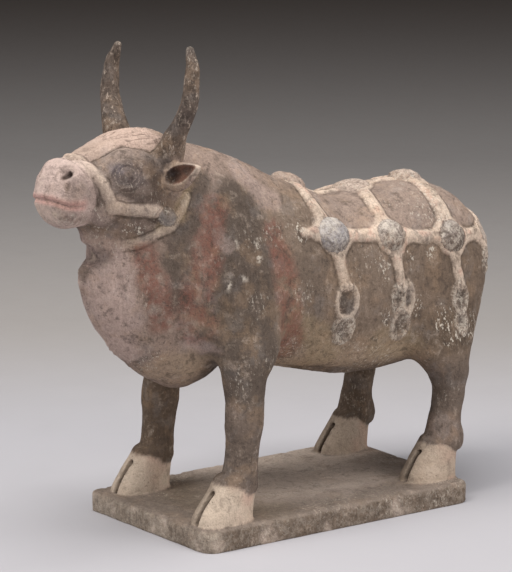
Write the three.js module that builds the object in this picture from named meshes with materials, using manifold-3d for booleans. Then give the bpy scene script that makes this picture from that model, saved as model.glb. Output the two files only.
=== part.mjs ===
// A painted grey-pottery ox on its slab plinth, made and fired as one piece.
// Millimetres, +Z up. The ox faces -Y and its left side is +X.
// The origin is the middle of the plinth's underside.

import * as THREE from "three";
import { mergeVertices } from "three/addons/utils/BufferGeometryUtils.js";
import Module from "manifold-3d";

const wasm = await Module();
wasm.setup();

// Driving dimensions
const PLINTH = {
  height: 16.4,
  edge: 2.2,
  // The slab is hand-cut and slightly out of square: [x, y, rounding] of each corner
  corners: [[80, 117, 4], [-76, 124.5, 5], [-74.5, -128, 4], [70, -122.5, 16]],
};
const CLAY = { color: 0x8a7b6d, roughness: 0.92, metalness: 0 };
// Slivers along the seams between shapes are merged away up to this height
const SLIVER = 0.15;

// Outline of the trunk, neck and dewlap: each pair is [y, value]
const TRUNK = {
  front: -179.5,
  back: 172,
  frontRound: { reach: 12, power: 2.2 },
  backRound: { reach: 46, power: 2.6 },
  top: [[-181, 226], [-172, 244], [-158, 258], [-140, 275], [-118, 285], [-83, 278.5], [-43, 264],
    [-18, 252], [5, 243], [31, 234.5], [60, 237], [95, 240.5], [120, 239], [140, 233], [172, 212]],
  bottom: [[-181, 182], [-176, 170], [-168, 156.5], [-157, 143.5], [-145, 130], [-125, 114],
    [-100, 104.5], [-88, 108], [-77, 116], [-60, 120], [-35, 115], [0, 107], [30, 100], [60, 97],
    [90, 99], [115, 105], [140, 118], [172, 138]],
  halfWidth: [[-181, 8.5], [-170, 14.5], [-160, 21], [-145, 32], [-125, 42], [-100, 50], [-75, 54],
    [-45, 54], [0, 57], [50, 60], [105, 60], [135, 58], [172, 54]],
  widest: [[-181, 193], [-145, 188], [-110, 186], [-75, 180], [0, 170], [100, 169], [140, 173], [172, 180]],
  upperPower: [[-181, 2], [-60, 2.05], [0, 2.4], [60, 2.6], [172, 2.6]],
  lowerPower: [[-181, 1.9], [-100, 1.75], [-50, 2], [20, 2.2], [172, 2.3]],
  rings: 22,
  sides: 22,
};

// A fold parts the throat from the dewlap below it
const THROAT_FOLD = { at: [0, -189, 208], size: [50, 20, 10.5] };

// Outline of the head, which runs level from the neck to the muzzle
const HEAD = {
  front: -209,
  back: -98,
  frontRound: { reach: 17, power: 2.2 },
  backRound: { reach: 20, power: 2 },
  top: [[-209, 272], [-195, 276], [-184, 277], [-170, 281.5], [-158, 286], [-145, 289.5], [-132, 290.5],
    [-118, 287], [-98, 278]],
  bottom: [[-209, 231.5], [-195, 229], [-183, 229], [-170, 223], [-155, 217], [-140, 214], [-120, 216],
    [-98, 222]],
  halfWidth: [[-209, 24], [-195, 24.5], [-184, 23], [-174, 25], [-160, 30], [-145, 33.5], [-130, 34.5],
    [-98, 31]],
  widest: [[-209, 251], [-180, 253], [-160, 256], [-140, 256], [-98, 250]],
  upperPower: [[-209, 2.3], [-170, 2.3], [-98, 2.3]],
  lowerPower: [[-209, 2.4], [-170, 2.1], [-98, 2]],
  rings: 14,
  sides: 18,
};

// Leg shafts: each row is [z, centre x, centre y, half width in x, half depth in y]
const FORELEG = [
  [36, 53, -86, 11.5, 12.5], [48, 53, -82.5, 12.3, 12.6], [58, 53, -81.5, 11.6, 11.9],
  [71, 53, -80, 12, 12.3], [86, 53, -78.5, 13.6, 14], [101, 52, -77.5, 13.4, 13.7],
  [115, 50, -76, 14.5, 15.8], [126, 49, -73, 16, 21], [138, 46, -72, 17, 28],
  [158, 38, -75, 18.5, 34], [185, 30, -78, 16, 30], [202, 24, -80, 8, 14],
];
const HINDLEG = [
  [38, 53, 110, 13, 13], [46, 53, 112, 13.8, 16], [58, 53, 112, 12.6, 13.2],
  [70, 53, 114.3, 11.8, 12], [84, 53, 116.6, 12, 12.3], [94, 52.5, 116.5, 13.6, 16],
  [104, 51.5, 113, 15.5, 20.5], [114, 50, 110, 17.5, 27], [126, 47, 109.5, 19, 33],
  [145, 42, 112, 20.5, 39], [170, 36, 118, 20, 38], [198, 28, 120, 10, 20],
];
const LEG_SIDES = 11;

// Cloven hooves: [height above the plinth, shift of the centre in y, half width, half depth]
const HOOF = {
  rows: [[-2, -2, 15.6, 23.5], [3, -1.6, 15.4, 23], [13, 2, 14.4, 20], [23, 6.5, 13.4, 16.8],
    [30, 9.3, 12.8, 14.6], [33.5, 10, 10.5, 11.5]],
  power: 2.5,
  sides: 12,
  cleft: { width: 3.2, depth: 4.5 },
};
const HOOVES = [
  { x: 52.5, y: -96 },
  { x: 52.5, y: 98 },
];

// Horns rise and bow outwards: centre line of the left one; the right one is stouter and further in
const HORN = {
  line: [[33, -127, 278], [38, -126.5, 289], [46, -124.6, 302], [52.4, -122.6, 318], [52.2, -121, 334],
    [46.6, -119, 349]],
  left: { inwards: 0, radii: [[0, 10], [0.15, 8.8], [0.35, 6.4], [0.6, 5.5], [0.85, 4.2], [1, 2.4]] },
  right: { inwards: 3, radii: [[0, 10.6], [0.15, 9.8], [0.35, 8], [0.6, 6.4], [0.85, 4.5], [1, 2.5]] },
  rings: 8,
  sides: 8,
};

// Ears stand out sideways and open to the front
const EAR = {
  at: [46.5, -126.5, 264.6],
  size: [16.6, 5.4, 8.4],
  lift: 0.42,
  sweep: 0.36,
  hollow: { shift: [2.2, -4.6, 1.2], size: [13, 5.2, 5] },
};

// Eyes: a ball set in a lid ring on each side of the head
const EYE = { y: -160, z: 264.8, ball: 6.6, proud: 1.4, lid: 1.6 };

// Muzzle: nostril pits, the mouth line and the chin
const NOSTRIL = { at: [17, -198, 267], radius: 3, depth: 6 };
const MOUTH = { z: 248, corner: -188, height: 1.4, depth: 1.6 };

// Bridle and harness straps are flat bands, thicker in the middle
const BAND = { sunk: 2.5, top: 0.72 };
const NOSEBAND = {
  // [angle round the head, y]
  route: [[-90, -164], [-20, -169.5], [0, -173.4], [25, -178.5], [50, -184], [90, -188]],
  width: 7.5,
  proud: 1.9,
};
const CHEEK_STRAP = { from: [-168, 243], to: [-137, 239], width: 8, proud: 1.8 };
const THROAT_STRAP = { start: [-128, 229], sag: [-150, 216.5], end: [-171, 217], width: 6.2, proud: 1.8 };
const DISC = { y: -131, z: 235, radius: 7.2, proud: 3.4 };
const FOREHEAD = {
  tip: -189,
  back: -128,
  proud: 1.6,
  halfWidth: [[-189, 6], [-180, 12.5], [-169, 14.5], [-157, 16], [-150, 20.5], [-141, 25.5], [-128, 31]],
  rows: 7,
  spans: 4,
};

const HARNESS = {
  // Cross straps leave the spine, bow forwards and end at the flank rosettes
  cross: [
    { spine: 2, flank: 2.5, bow: -9 },
    { spine: 66, flank: 54.5, bow: -7.5 },
    { spine: 118, flank: 112, bow: -5 },
    { spine: 158, flank: 152, bow: 0 },
  ],
  crossWidth: 9,
  flankHeight: [[-20, 216], [2, 212.5], [55, 208], [113, 202.5], [166, 201]],
  flank: { from: -22, to: 164, width: 8.5 },
  spine: { from: -8, to: 163, width: 7.5 },
  proud: 1.9,
  spacing: 16,
};
const TASSEL = { radius: 9, height: 2.6, from: 6, middle: 20, strap: 6, half: [6.5, 10.5], proud: 2 };
// Rosettes on the flank from front to back
const ROSETTES = [{ radius: 13.2, height: 8.2 }, { radius: 12, height: 7.2 }, { radius: 12, height: 6.2 }];
const SPINE_BOSSES = [
  { y: 0, radius: 13.5, height: 7.8 },
  { y: 61, radius: 14, height: 6.6 },
  { y: 115, radius: 13.5, height: 8.6 },
];
const BOSS = { sunk: 3, sides: 10 };
const PENDANT = {
  lean: [[0, 0], [20, 3], [44, 7], [75, 9]],
  neck: { from: 8, to: 36, width: [[0, 11.5], [0.35, 8.5], [0.6, 7], [1, 9]] },
  // Lobes of each pendant from front to back, dished within a rim
  lobes: [
    [
      { across: 0.3, down: 48, half: [10.4, 14], height: 2.8 },
      { across: -0.9, down: 69, half: [9.4, 12.5], height: 2.2 },
    ],
    [
      { across: -4.4, down: 46, half: [6.2, 10], height: 2.2 },
      { across: 5, down: 47, half: [6, 14], height: 2.8 },
      { across: -0.6, down: 66, half: [9, 14], height: 2.2 },
    ],
    [
      { across: -1.9, down: 47, half: [8.2, 13.5], height: 2.6 },
      { across: -2.8, down: 65, half: [6.8, 10], height: 1.8 },
    ],
  ],
  sunk: 4,
  sides: 8,
};
// The tail hangs down the rump: [y, z] along it
const TAIL = {
  line: [[150, 226], [163, 212.5], [171, 195], [172, 176], [169, 154], [163, 138]],
  radii: [3, 5, 5, 6.5, 7.5, 3],
  sides: 8,
};

// Smooth, monotone curve through [position, value] pairs
function through(pairs) {
  const n = pairs.length;
  const rise = [];
  for (let i = 0; i < n - 1; i++) {
    rise.push((pairs[i + 1][1] - pairs[i][1]) / (pairs[i + 1][0] - pairs[i][0]));
  }
  const slope = pairs.map((_, i) => {
    if (i === 0) return rise[0];
    if (i === n - 1) return rise[n - 2];
    const [a, b] = [rise[i - 1], rise[i]];
    return a * b <= 0 ? 0 : (2 * a * b) / (a + b);
  });
  return (s) => {
    const at = Math.min(Math.max(s, pairs[0][0]), pairs[n - 1][0]);
    let i = 0;
    while (i < n - 2 && at > pairs[i + 1][0]) i++;
    const span = pairs[i + 1][0] - pairs[i][0];
    const t = (at - pairs[i][0]) / span;
    return (
      (1 + 2 * t) * (1 - t) ** 2 * pairs[i][1] + t * (1 - t) ** 2 * span * slope[i] +
      t * t * (3 - 2 * t) * pairs[i + 1][1] - t * t * (1 - t) * span * slope[i + 1]
    );
  };
}

const powered = (value, power) => Math.sign(value) * Math.abs(value) ** power;

// A body whose sections are egg-shaped superellipses along Y, rounded off at both ends
function makeBody(outline) {
  const curve = {};
  for (const key of ["top", "bottom", "halfWidth", "widest", "upperPower", "lowerPower"]) {
    curve[key] = through(outline[key]);
  }
  const rounding = (y) => {
    const ends = [
      [outline.front + outline.frontRound.reach - y, outline.frontRound],
      [y - outline.back + outline.backRound.reach, outline.backRound],
    ];
    return ends.reduce((size, [past, round]) => {
      const share = Math.min(Math.max(past / round.reach, 0), 1);
      return size * (1 - share ** round.power) ** (1 / round.power);
    }, 1);
  };
  // Angle 0 is the left side at its widest, 90 the top
  const point = (y, degrees, out = 0) => {
    const angle = THREE.MathUtils.degToRad(degrees);
    const [c, s] = [Math.cos(angle), Math.sin(angle)];
    const size = rounding(y);
    const widest = curve.widest(y);
    const power = 2 / (s >= 0 ? curve.upperPower(y) : curve.lowerPower(y));
    const reach = s >= 0 ? curve.top(y) - widest : widest - curve.bottom(y);
    const p = new THREE.Vector3(
      curve.halfWidth(y) * size * powered(c, power), y, widest + reach * size * powered(s, power));
    return out ? p.addScaledVector(normal(y, degrees), out) : p;
  };
  const normal = (y, degrees) => {
    const [dy, da] = [0.5, 1.5];
    const along = point(y + dy, degrees).sub(point(y - dy, degrees));
    const around = point(y, degrees + da).sub(point(y, degrees - da));
    return along.cross(around).normalize();
  };
  // The angle on the section at y that lies at height z
  const angleAt = (y, z) => {
    let [low, high] = [-89, 89];
    for (let i = 0; i < 40; i++) {
      const middle = (low + high) / 2;
      if (point(y, middle).z < z) low = middle;
      else high = middle;
    }
    return low;
  };
  const geometry = () => {
    const rings = [];
    for (let i = 1; i < outline.rings; i++) {
      const share = (1 - Math.cos((Math.PI * i) / outline.rings)) / 2;
      const even = i / outline.rings;
      const y = outline.front + (outline.back - outline.front) * (0.55 * even + 0.45 * share);
      rings.push(ringOf(outline.sides, (degrees) => point(y, degrees)));
    }
    return loft(rings,
      new THREE.Vector3(0, outline.front, curve.widest(outline.front)),
      new THREE.Vector3(0, outline.back, curve.widest(outline.back)));
  };
  return { point, normal, angleAt, geometry };
}

function ringOf(sides, at) {
  return Array.from({ length: sides }, (_, i) => at((360 * i) / sides));
}

// Closed skin over rings of equal length, with a point or a flat fan at each end
function loft(rings, start = null, end = null) {
  const sum = (ring) => ring.reduce((total, p) => total.add(p), new THREE.Vector3());
  const middle = (ring) => sum(ring).divideScalar(ring.length);
  const points = rings.flat().concat([start ?? middle(rings[0]), end ?? middle(rings[rings.length - 1])]);
  const sides = rings[0].length;
  const last = (rings.length - 1) * sides;
  const faces = [];
  for (let j = 0; j < sides; j++) {
    const next = (j + 1) % sides;
    for (let i = 0; i < last; i += sides) {
      faces.push(i + j, i + sides + j, i + next, i + next, i + sides + j, i + sides + next);
    }
    faces.push(points.length - 2, j, next, points.length - 1, last + next, last + j);
  }
  const geometry = new THREE.BufferGeometry().setFromPoints(points);
  geometry.setIndex(faces);
  return geometry;
}

// The solid of a closed geometry, turned inside out first if its faces point inwards
function solid(geometry, matrix = null) {
  const bare = geometry.clone();
  bare.deleteAttribute("normal");
  bare.deleteAttribute("uv");
  if (matrix) bare.applyMatrix4(matrix);
  const merged = mergeVertices(bare, 1e-4);
  const position = merged.getAttribute("position");
  const index = [];
  const source = merged.index.array;
  for (let i = 0; i < source.length; i += 3) {
    const [a, b, c] = source.slice(i, i + 3);
    if (a !== b && b !== c && c !== a) index.push(a, b, c);
  }
  const corner = (i) => new THREE.Vector3().fromBufferAttribute(position, index[i]);
  let volume = 0;
  for (let i = 0; i < index.length; i += 3) volume += corner(i).dot(corner(i + 1).cross(corner(i + 2)));
  if (volume < 0) index.reverse();
  return new wasm.Manifold(new wasm.Mesh({
    numProp: 3, vertProperties: new Float32Array(position.array), triVerts: new Uint32Array(index) }));
}

const mirrored = (shape) => shape.mirror([1, 0, 0]);
const joined = (shapes) => shapes.reduce((whole, shape) => whole.add(shape));

const trunk = makeBody(TRUNK);
const head = makeBody(HEAD);

// A frame on a surface: x runs across, y along "up", z out of the surface
function frameOn(point, normal, up) {
  const y = up.clone().addScaledVector(normal, -up.dot(normal)).normalize();
  const x = y.clone().cross(normal).normalize();
  return new THREE.Matrix4().makeBasis(x, y, normal).setPosition(point);
}

// A flat band laid on a surface; the route is a list of { point, normal }
function band(route, width, proud) {
  const rings = route.map(({ point, normal }, i) => {
    const before = route[Math.max(i - 1, 0)].point;
    const after = route[Math.min(i + 1, route.length - 1)].point;
    const side = after.clone().sub(before).cross(normal).normalize();
    const half = (typeof width === "function" ? width(i / (route.length - 1)) : width) / 2;
    const section = [[-1, -BAND.sunk], [1, -BAND.sunk], [BAND.top, proud], [-BAND.top, proud]];
    return section.map(([s, n]) => point.clone().addScaledVector(side, s * half).addScaledVector(normal, n));
  });
  return solid(loft(rings));
}

function steps(from, to, count) {
  return Array.from({ length: count + 1 }, (_, i) => from + ((to - from) * i) / count);
}
const on = (body) => ([y, degrees]) => ({ point: body.point(y, degrees), normal: body.normal(y, degrees) });
const onTrunk = on(trunk);
const onHead = on(head);

function legShape(rows) {
  const rings = rows.map(([z, x, y, halfWidth, halfDepth]) => {
    return ringOf(LEG_SIDES, (degrees) => {
      const angle = THREE.MathUtils.degToRad(degrees);
      return new THREE.Vector3(x + halfWidth * Math.cos(angle), y + halfDepth * Math.sin(angle), z);
    });
  });
  return solid(loft(rings));
}

function hoofShape({ x, y }) {
  const rings = HOOF.rows.map(([rise, shift, halfWidth, halfDepth]) =>
    ringOf(HOOF.sides, (degrees) => {
      const angle = THREE.MathUtils.degToRad(degrees);
      return new THREE.Vector3(
        x + halfWidth * powered(Math.cos(angle), 2 / HOOF.power),
        y + shift + halfDepth * powered(Math.sin(angle), 2 / HOOF.power),
        PLINTH.height + rise);
    }));
  const { width, depth } = HOOF.cleft;
  const front = HOOF.rows.slice(1, 5).map(([rise, shift, , halfDepth]) =>
    new THREE.Vector3(x, y + shift - halfDepth, PLINTH.height + rise));
  const cut = loft(front.map((p) => [
    new THREE.Vector3(p.x - width / 2, p.y - 2, p.z - 1),
    new THREE.Vector3(p.x + width / 2, p.y - 2, p.z - 1),
    new THREE.Vector3(p.x, p.y + depth, p.z + 1),
  ]));
  return solid(loft(rings)).subtract(solid(cut));
}

function hornShape({ inwards, radii }) {
  const middle = HORN.line.map(([x, y, z]) => new THREE.Vector3(x - inwards, y, z));
  const curve = new THREE.CatmullRomCurve3(middle);
  const radius = through(radii);
  const rings = steps(0, 1, HORN.rings).map((t) => {
    const frame = frameOn(curve.getPoint(t), curve.getTangent(t), new THREE.Vector3(0, 1, 0));
    return ringOf(HORN.sides, (degrees) => {
      const angle = THREE.MathUtils.degToRad(degrees);
      return new THREE.Vector3(Math.cos(angle), Math.sin(angle), 0)
        .multiplyScalar(radius(t)).applyMatrix4(frame);
    });
  });
  const tip = curve.getPoint(1).addScaledVector(curve.getTangent(1), 1.6);
  return solid(loft(rings, null, tip));
}

function ellipsoid(at, size, turn = null, segments = [14, 9]) {
  const turned = new THREE.Quaternion().setFromEuler(turn ?? new THREE.Euler());
  const matrix = new THREE.Matrix4().compose(new THREE.Vector3(...at), turned, new THREE.Vector3(...size));
  return solid(new THREE.SphereGeometry(1, ...segments), matrix);
}

function earShape() {
  const turn = new THREE.Euler(0, -EAR.lift, EAR.sweep, "ZYX");
  const shift = new THREE.Vector3(...EAR.hollow.shift).applyEuler(turn).add(new THREE.Vector3(...EAR.at));
  return {
    flap: ellipsoid(EAR.at, EAR.size, turn, [10, 6]),
    hollow: ellipsoid(shift.toArray(), EAR.hollow.size, turn, [8, 6]),
  };
}

function eyeShape() {
  const { point, normal } = onHead([EYE.y, head.angleAt(EYE.y, EYE.z)]);
  const frame = frameOn(point, normal, new THREE.Vector3(0, 0, 1));
  const ball = frame.clone()
    .multiply(new THREE.Matrix4().makeTranslation(0, 0, EYE.proud - EYE.ball * 0.55))
    .multiply(new THREE.Matrix4().makeScale(EYE.ball, EYE.ball * 0.85, EYE.ball * 0.55));
  const lid = frame.clone().multiply(new THREE.Matrix4().makeScale(1.05, 0.86, 1));
  return joined([
    solid(new THREE.SphereGeometry(1, 10, 6), ball),
    solid(new THREE.TorusGeometry(EYE.ball, EYE.lid, 5, 12), lid),
  ]);
}

// A raised round or oval boss: a turned profile stretched to size and laid on a surface
function boss(place, up, half, height, sunk, sides, dished) {
  const profile = dished
    ? [[0, -1], [1, -1], [1, 0.3], [0.8, 1], [0, 0.5]]
    : [[0, -1], [1, -1], [1, 0.3], [0.62, 0.86], [0, 1]];
  const points = profile.map(([r, h]) => new THREE.Vector2(r, h < 0 ? -sunk : h * height));
  const turned = new THREE.LatheGeometry(points, sides).rotateX(Math.PI / 2);
  const frame = frameOn(place.point, place.normal, up)
    .multiply(new THREE.Matrix4().makeScale(half[0], half[1], 1));
  return solid(turned, frame);
}

const UP = new THREE.Vector3(0, 0, 1);
const BACKWARDS = new THREE.Vector3(0, 1, 0);

function nosebandRoute() {
  const y = through(NOSEBAND.route);
  return steps(-90, 90, 10).map((degrees) => onHead([y(degrees), degrees]));
}

function bridle() {
  const side = (y, z) => onHead([y, head.angleAt(y, z)]);
  const cheek = steps(0, 1, 5).map((t) => side(
    THREE.MathUtils.lerp(CHEEK_STRAP.from[0], CHEEK_STRAP.to[0], t),
    THREE.MathUtils.lerp(CHEEK_STRAP.from[1], CHEEK_STRAP.to[1], t)));
  const { start, sag, end } = THROAT_STRAP;
  const arc = new THREE.QuadraticBezierCurve(
    new THREE.Vector2(...start), new THREE.Vector2(...sag), new THREE.Vector2(...end));
  const throat = arc.getPoints(7).map((p) => side(p.x, p.y));
  return [
    band(nosebandRoute(), NOSEBAND.width, NOSEBAND.proud),
    band(cheek, CHEEK_STRAP.width, CHEEK_STRAP.proud),
    band(throat, THROAT_STRAP.width, THROAT_STRAP.proud),
    boss(side(DISC.y, DISC.z), UP, [DISC.radius, DISC.radius], DISC.proud, BOSS.sunk, BOSS.sides, false),
  ];
}

// The padded forehead piece of the bridle, a leaf that widens from the nose to the horns
function foreheadShape() {
  const half = through(FOREHEAD.halfWidth);
  const rings = steps(FOREHEAD.tip, FOREHEAD.back, FOREHEAD.rows).map((y) => {
    const edge = THREE.MathUtils.radToDeg(Math.acos(Math.min(half(y) / head.point(y, 0).x, 0.98) ** 1.15));
    const angles = steps(edge, 180 - edge, FOREHEAD.spans);
    const skin = angles.map((degrees) => head.point(y, degrees, FOREHEAD.proud));
    const under = angles.map((degrees) => head.point(y, degrees, -BAND.sunk)).reverse();
    return skin.concat(under);
  });
  return solid(loft(rings));
}

function harnessSide() {
  const { cross, crossWidth, flank, proud, spacing } = HARNESS;
  const height = through(HARNESS.flankHeight);
  const onFlank = (y, down = 0) => onTrunk([y, trunk.angleAt(y, height(y) - down)]);
  const rosette = (y, { radius, height: rise }) =>
    boss(onFlank(y), UP, [radius, radius], rise, BOSS.sunk, BOSS.sides, false);
  const crossBand = ({ spine, flank: end, bow }) => {
    const low = trunk.angleAt(end, height(end));
    const route = steps(0, 1, 5).map((t) =>
      onTrunk([end + (spine - end) * t + bow * Math.sin(Math.PI * t), low + (91 - low) * t]));
    return band(route, crossWidth, proud);
  };
  const line = steps(flank.from, flank.to, Math.round((flank.to - flank.from) / spacing));
  const stations = cross.slice(0, 3).map((strap) => strap.flank);
  return [
    band(line.map((y) => onFlank(y)), flank.width, proud),
    ...cross.map(crossBand),
    ...stations.map((y, i) => rosette(y, ROSETTES[i])),
    ...stations.flatMap((y, i) => pendantShapes(y, PENDANT.lobes[i], onFlank)),
    rosette(cross[3].flank, TASSEL),
    ...tasselShapes(cross[3].flank, onFlank),
  ];
}

function pendantShapes(y, lobes, onFlank) {
  const { neck, sunk, sides } = PENDANT;
  const lean = through(PENDANT.lean);
  const width = through(neck.width);
  const place = (across, down) => onFlank(y + across + lean(down), down);
  const drop = steps(neck.from, neck.to, 4).map((down) => place(0, down));
  return [
    band(drop, width, HARNESS.proud),
    ...lobes.map(({ across, down, half, height }) =>
      boss(place(across, down), UP, half, height, sunk, sides, true)),
  ];
}

// The hindmost pendant is a short tassel on a narrow strap
function tasselShapes(y, onFlank) {
  const [from, middle] = [onFlank(y, TASSEL.from), onFlank(y, TASSEL.middle)];
  return [
    band([from, middle], TASSEL.strap, HARNESS.proud),
    boss(middle, UP, TASSEL.half, TASSEL.proud, PENDANT.sunk, PENDANT.sides, true),
  ];
}

function spine() {
  const { spine: run, proud, spacing } = HARNESS;
  const stops = steps(run.from, run.to, Math.round((run.to - run.from) / spacing));
  const route = stops.map((y) => onTrunk([y, 90]));
  const bosses = SPINE_BOSSES.map(({ y, radius, height }) => boss(onTrunk([y, 90]), BACKWARDS,
    [radius, radius], height, BOSS.sunk, BOSS.sides, false));
  return [band(route, run.width, proud), ...bosses];
}

function tailShape() {
  const rings = TAIL.line.map(([y, z], i) => {
    const before = TAIL.line[Math.max(i - 1, 0)];
    const after = TAIL.line[Math.min(i + 1, TAIL.line.length - 1)];
    const along = new THREE.Vector3(0, after[0] - before[0], after[1] - before[1]).normalize();
    const frame = frameOn(new THREE.Vector3(0, y, z), along, BACKWARDS);
    return ringOf(TAIL.sides, (degrees) => {
      const angle = THREE.MathUtils.degToRad(degrees);
      return new THREE.Vector3(Math.cos(angle), Math.sin(angle), 0)
        .multiplyScalar(TAIL.radii[i]).applyMatrix4(frame);
    });
  });
  return solid(loft(rings));
}

function plinthShape() {
  const { height, edge, corners } = PLINTH;
  const outline = (inset) => {
    const points = corners.map(([x, y]) =>
      new THREE.Vector2(x - Math.sign(x) * inset, y - Math.sign(y) * inset));
    const shape = new THREE.Shape();
    points.forEach((corner, i) => {
      const round = corners[i][2];
      const towards = (k) => points[(k + 4) % 4].clone().sub(corner).setLength(round).add(corner);
      const [start, end] = [towards(i - 1), towards(i + 1)];
      if (i) shape.lineTo(start.x, start.y);
      else shape.moveTo(start.x, start.y);
      shape.quadraticCurveTo(corner.x, corner.y, end.x, end.y);
    });
    return shape.getPoints(5);
  };
  const rings = [[0, 0], [0, height - edge], [edge * 0.3, height - edge * 0.3], [edge, height]];
  return solid(loft(rings.map(([inset, z]) => outline(inset).map((p) => new THREE.Vector3(p.x, p.y, z)))));
}

function muzzleCuts() {
  const nostril = new THREE.Matrix4().compose(
    new THREE.Vector3(...NOSTRIL.at),
    new THREE.Quaternion().setFromEuler(new THREE.Euler(0.5, 0, 0.5)),
    new THREE.Vector3(NOSTRIL.radius, NOSTRIL.depth, NOSTRIL.radius));
  const lips = steps(-78, 78, 12).map((degrees) => {
    const angle = THREE.MathUtils.degToRad(degrees);
    const [x, y] = [23 * Math.sin(angle), HEAD.front + 21 - 21 * Math.cos(angle)];
    return new THREE.Vector3(x, y, MOUTH.z - 2 * Math.cos(2 * angle));
  });
  const cut = lips.map((p) => {
    const out = new THREE.Vector3(p.x, p.y - MOUTH.corner, 0).normalize();
    const at = (reach, rise) => p.clone().addScaledVector(out, reach).setZ(p.z + rise);
    return [at(4, -MOUTH.height), at(4, MOUTH.height), at(-MOUTH.depth, 0)];
  });
  return [solid(new THREE.SphereGeometry(1, 10, 8), nostril), solid(loft(cut))];
}

function oxShape() {
  const ear = earShape();
  const left = [
    legShape(FORELEG), legShape(HINDLEG), ...HOOVES.map(hoofShape), ear.flap, eyeShape(),
    ...bridle(), ...harnessSide(),
  ];
  const half = joined(left);
  const [nostril, lips] = muzzleCuts();
  return joined([
    solid(trunk.geometry()), solid(head.geometry()), half, mirrored(half),
    hornShape(HORN.left), mirrored(hornShape(HORN.right)), foreheadShape(), ...spine(), tailShape(),
    plinthShape(),
  ]).subtract(ear.hollow).subtract(mirrored(ear.hollow))
    .subtract(nostril).subtract(mirrored(nostril)).subtract(lips)
    .subtract(ellipsoid(THROAT_FOLD.at, THROAT_FOLD.size))
    .simplify(SLIVER);
}

function meshOf(name, shape) {
  const { numProp, vertProperties, triVerts } = shape.getMesh();
  const geometry = new THREE.BufferGeometry();
  const points = [];
  for (let i = 0; i < vertProperties.length; i += numProp) points.push(...vertProperties.slice(i, i + 3));
  geometry.setAttribute("position", new THREE.Float32BufferAttribute(points, 3));
  geometry.setIndex([...triVerts]);
  geometry.computeVertexNormals();
  const mesh = new THREE.Mesh(geometry, new THREE.MeshStandardMaterial(CLAY));
  mesh.name = name;
  return mesh;
}

const figure = new THREE.Group();
figure.add(meshOf("ox_on_plinth", oxShape()));

export default figure;
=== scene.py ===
# A painted grey-pottery ox on its slab plinth.
# One mesh stands for the one fired piece. Its forms are worked out as distances in millimetres
# and turned to metres when the mesh is made. The ox faces -Y and its left side is +X.
import math

import bpy
import numpy as np
import openvdb
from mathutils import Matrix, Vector


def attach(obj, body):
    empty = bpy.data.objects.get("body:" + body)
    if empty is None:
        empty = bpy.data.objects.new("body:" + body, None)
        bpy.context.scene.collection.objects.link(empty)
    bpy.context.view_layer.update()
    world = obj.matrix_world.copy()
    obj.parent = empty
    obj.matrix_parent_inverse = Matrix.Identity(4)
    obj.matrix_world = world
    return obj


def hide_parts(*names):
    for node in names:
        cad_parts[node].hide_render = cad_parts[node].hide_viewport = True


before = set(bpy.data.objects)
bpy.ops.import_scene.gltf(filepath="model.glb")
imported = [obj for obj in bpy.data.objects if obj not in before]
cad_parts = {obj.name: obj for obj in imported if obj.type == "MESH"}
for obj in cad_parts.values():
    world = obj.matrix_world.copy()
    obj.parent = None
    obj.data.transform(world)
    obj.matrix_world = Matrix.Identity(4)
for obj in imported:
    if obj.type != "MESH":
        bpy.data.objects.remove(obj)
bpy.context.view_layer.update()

MM = 0.001
STEP = 1.15
MOST_TRIANGLES = 196_000
FAR = 25.0
# Low and high corner of the sampled block
SAMPLED = ((-88, -224, -8), (88, 188, 360))
# Places in x, from outside to near the middle, where the skin of the left side is looked for
SEARCH_X = np.linspace(84, 2, 165)

# Plinth: each corner is (x, y, rounding)
PLINTH_TOP = 16.4
PLINTH_EDGE = 2.4
PLINTH_CORNERS = [(80, 117, 4), (-76, 124.5, 5), (-74.5, -128, 4), (70, -122.5, 16)]

# Outline of the trunk, neck and dewlap, and of the head: each pair is (y, value), and the ends are
# (y, length of the rounding, its power)
TRUNK = {
    "ends": {"front": (-179.5, 12, 2.2), "back": (172, 46, 2.6)},
    "top": [(-181, 226), (-172, 244), (-158, 258), (-140, 275), (-118, 285), (-83, 278.5), (-43, 264),
            (-18, 252), (5, 243), (31, 234.5), (60, 237), (95, 240.5), (120, 239), (140, 233),
            (172, 212)],
    "bottom": [(-181, 182), (-176, 170), (-168, 156.5), (-157, 143.5), (-145, 130), (-125, 114),
               (-100, 104.5), (-88, 108), (-77, 116), (-60, 120), (-35, 115), (0, 107), (30, 100),
               (60, 97), (90, 99), (115, 105), (140, 118), (172, 138)],
    "half": [(-181, 8.5), (-170, 14.5), (-160, 21), (-145, 32), (-125, 42), (-100, 50), (-75, 54),
             (-45, 54), (0, 57), (50, 60), (105, 60), (135, 58), (172, 54)],
    "widest": [(-181, 193), (-145, 188), (-110, 186), (-75, 180), (0, 170), (100, 169), (140, 173),
               (172, 180)],
    "upper": [(-181, 2), (-60, 2.05), (0, 2.4), (60, 2.6), (172, 2.6)],
    "lower": [(-181, 1.9), (-100, 1.75), (-50, 2), (20, 2.2), (172, 2.3)],
}
HEAD = {
    "ends": {"front": (-209, 17, 2.2), "back": (-98, 20, 2)},
    "top": [(-209, 272), (-195, 276), (-184, 277), (-170, 281.5), (-158, 286), (-145, 289.5),
            (-132, 290.5), (-118, 287), (-98, 278)],
    "bottom": [(-209, 231.5), (-195, 229), (-183, 229), (-170, 223), (-155, 217), (-140, 214),
               (-120, 216), (-98, 222)],
    "half": [(-209, 24), (-195, 24.5), (-184, 23), (-174, 25), (-160, 30), (-145, 33.5), (-130, 34.5),
             (-98, 31)],
    "widest": [(-209, 251), (-180, 253), (-160, 256), (-140, 256), (-98, 250)],
    "upper": [(-209, 2.3), (-98, 2.3)],
    "lower": [(-209, 2.4), (-170, 2.1), (-98, 2)],
}
THROAT_FOLD = {"at": (0, -190, 208), "size": (60, 20, 11), "sweep": 0.45}

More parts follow.
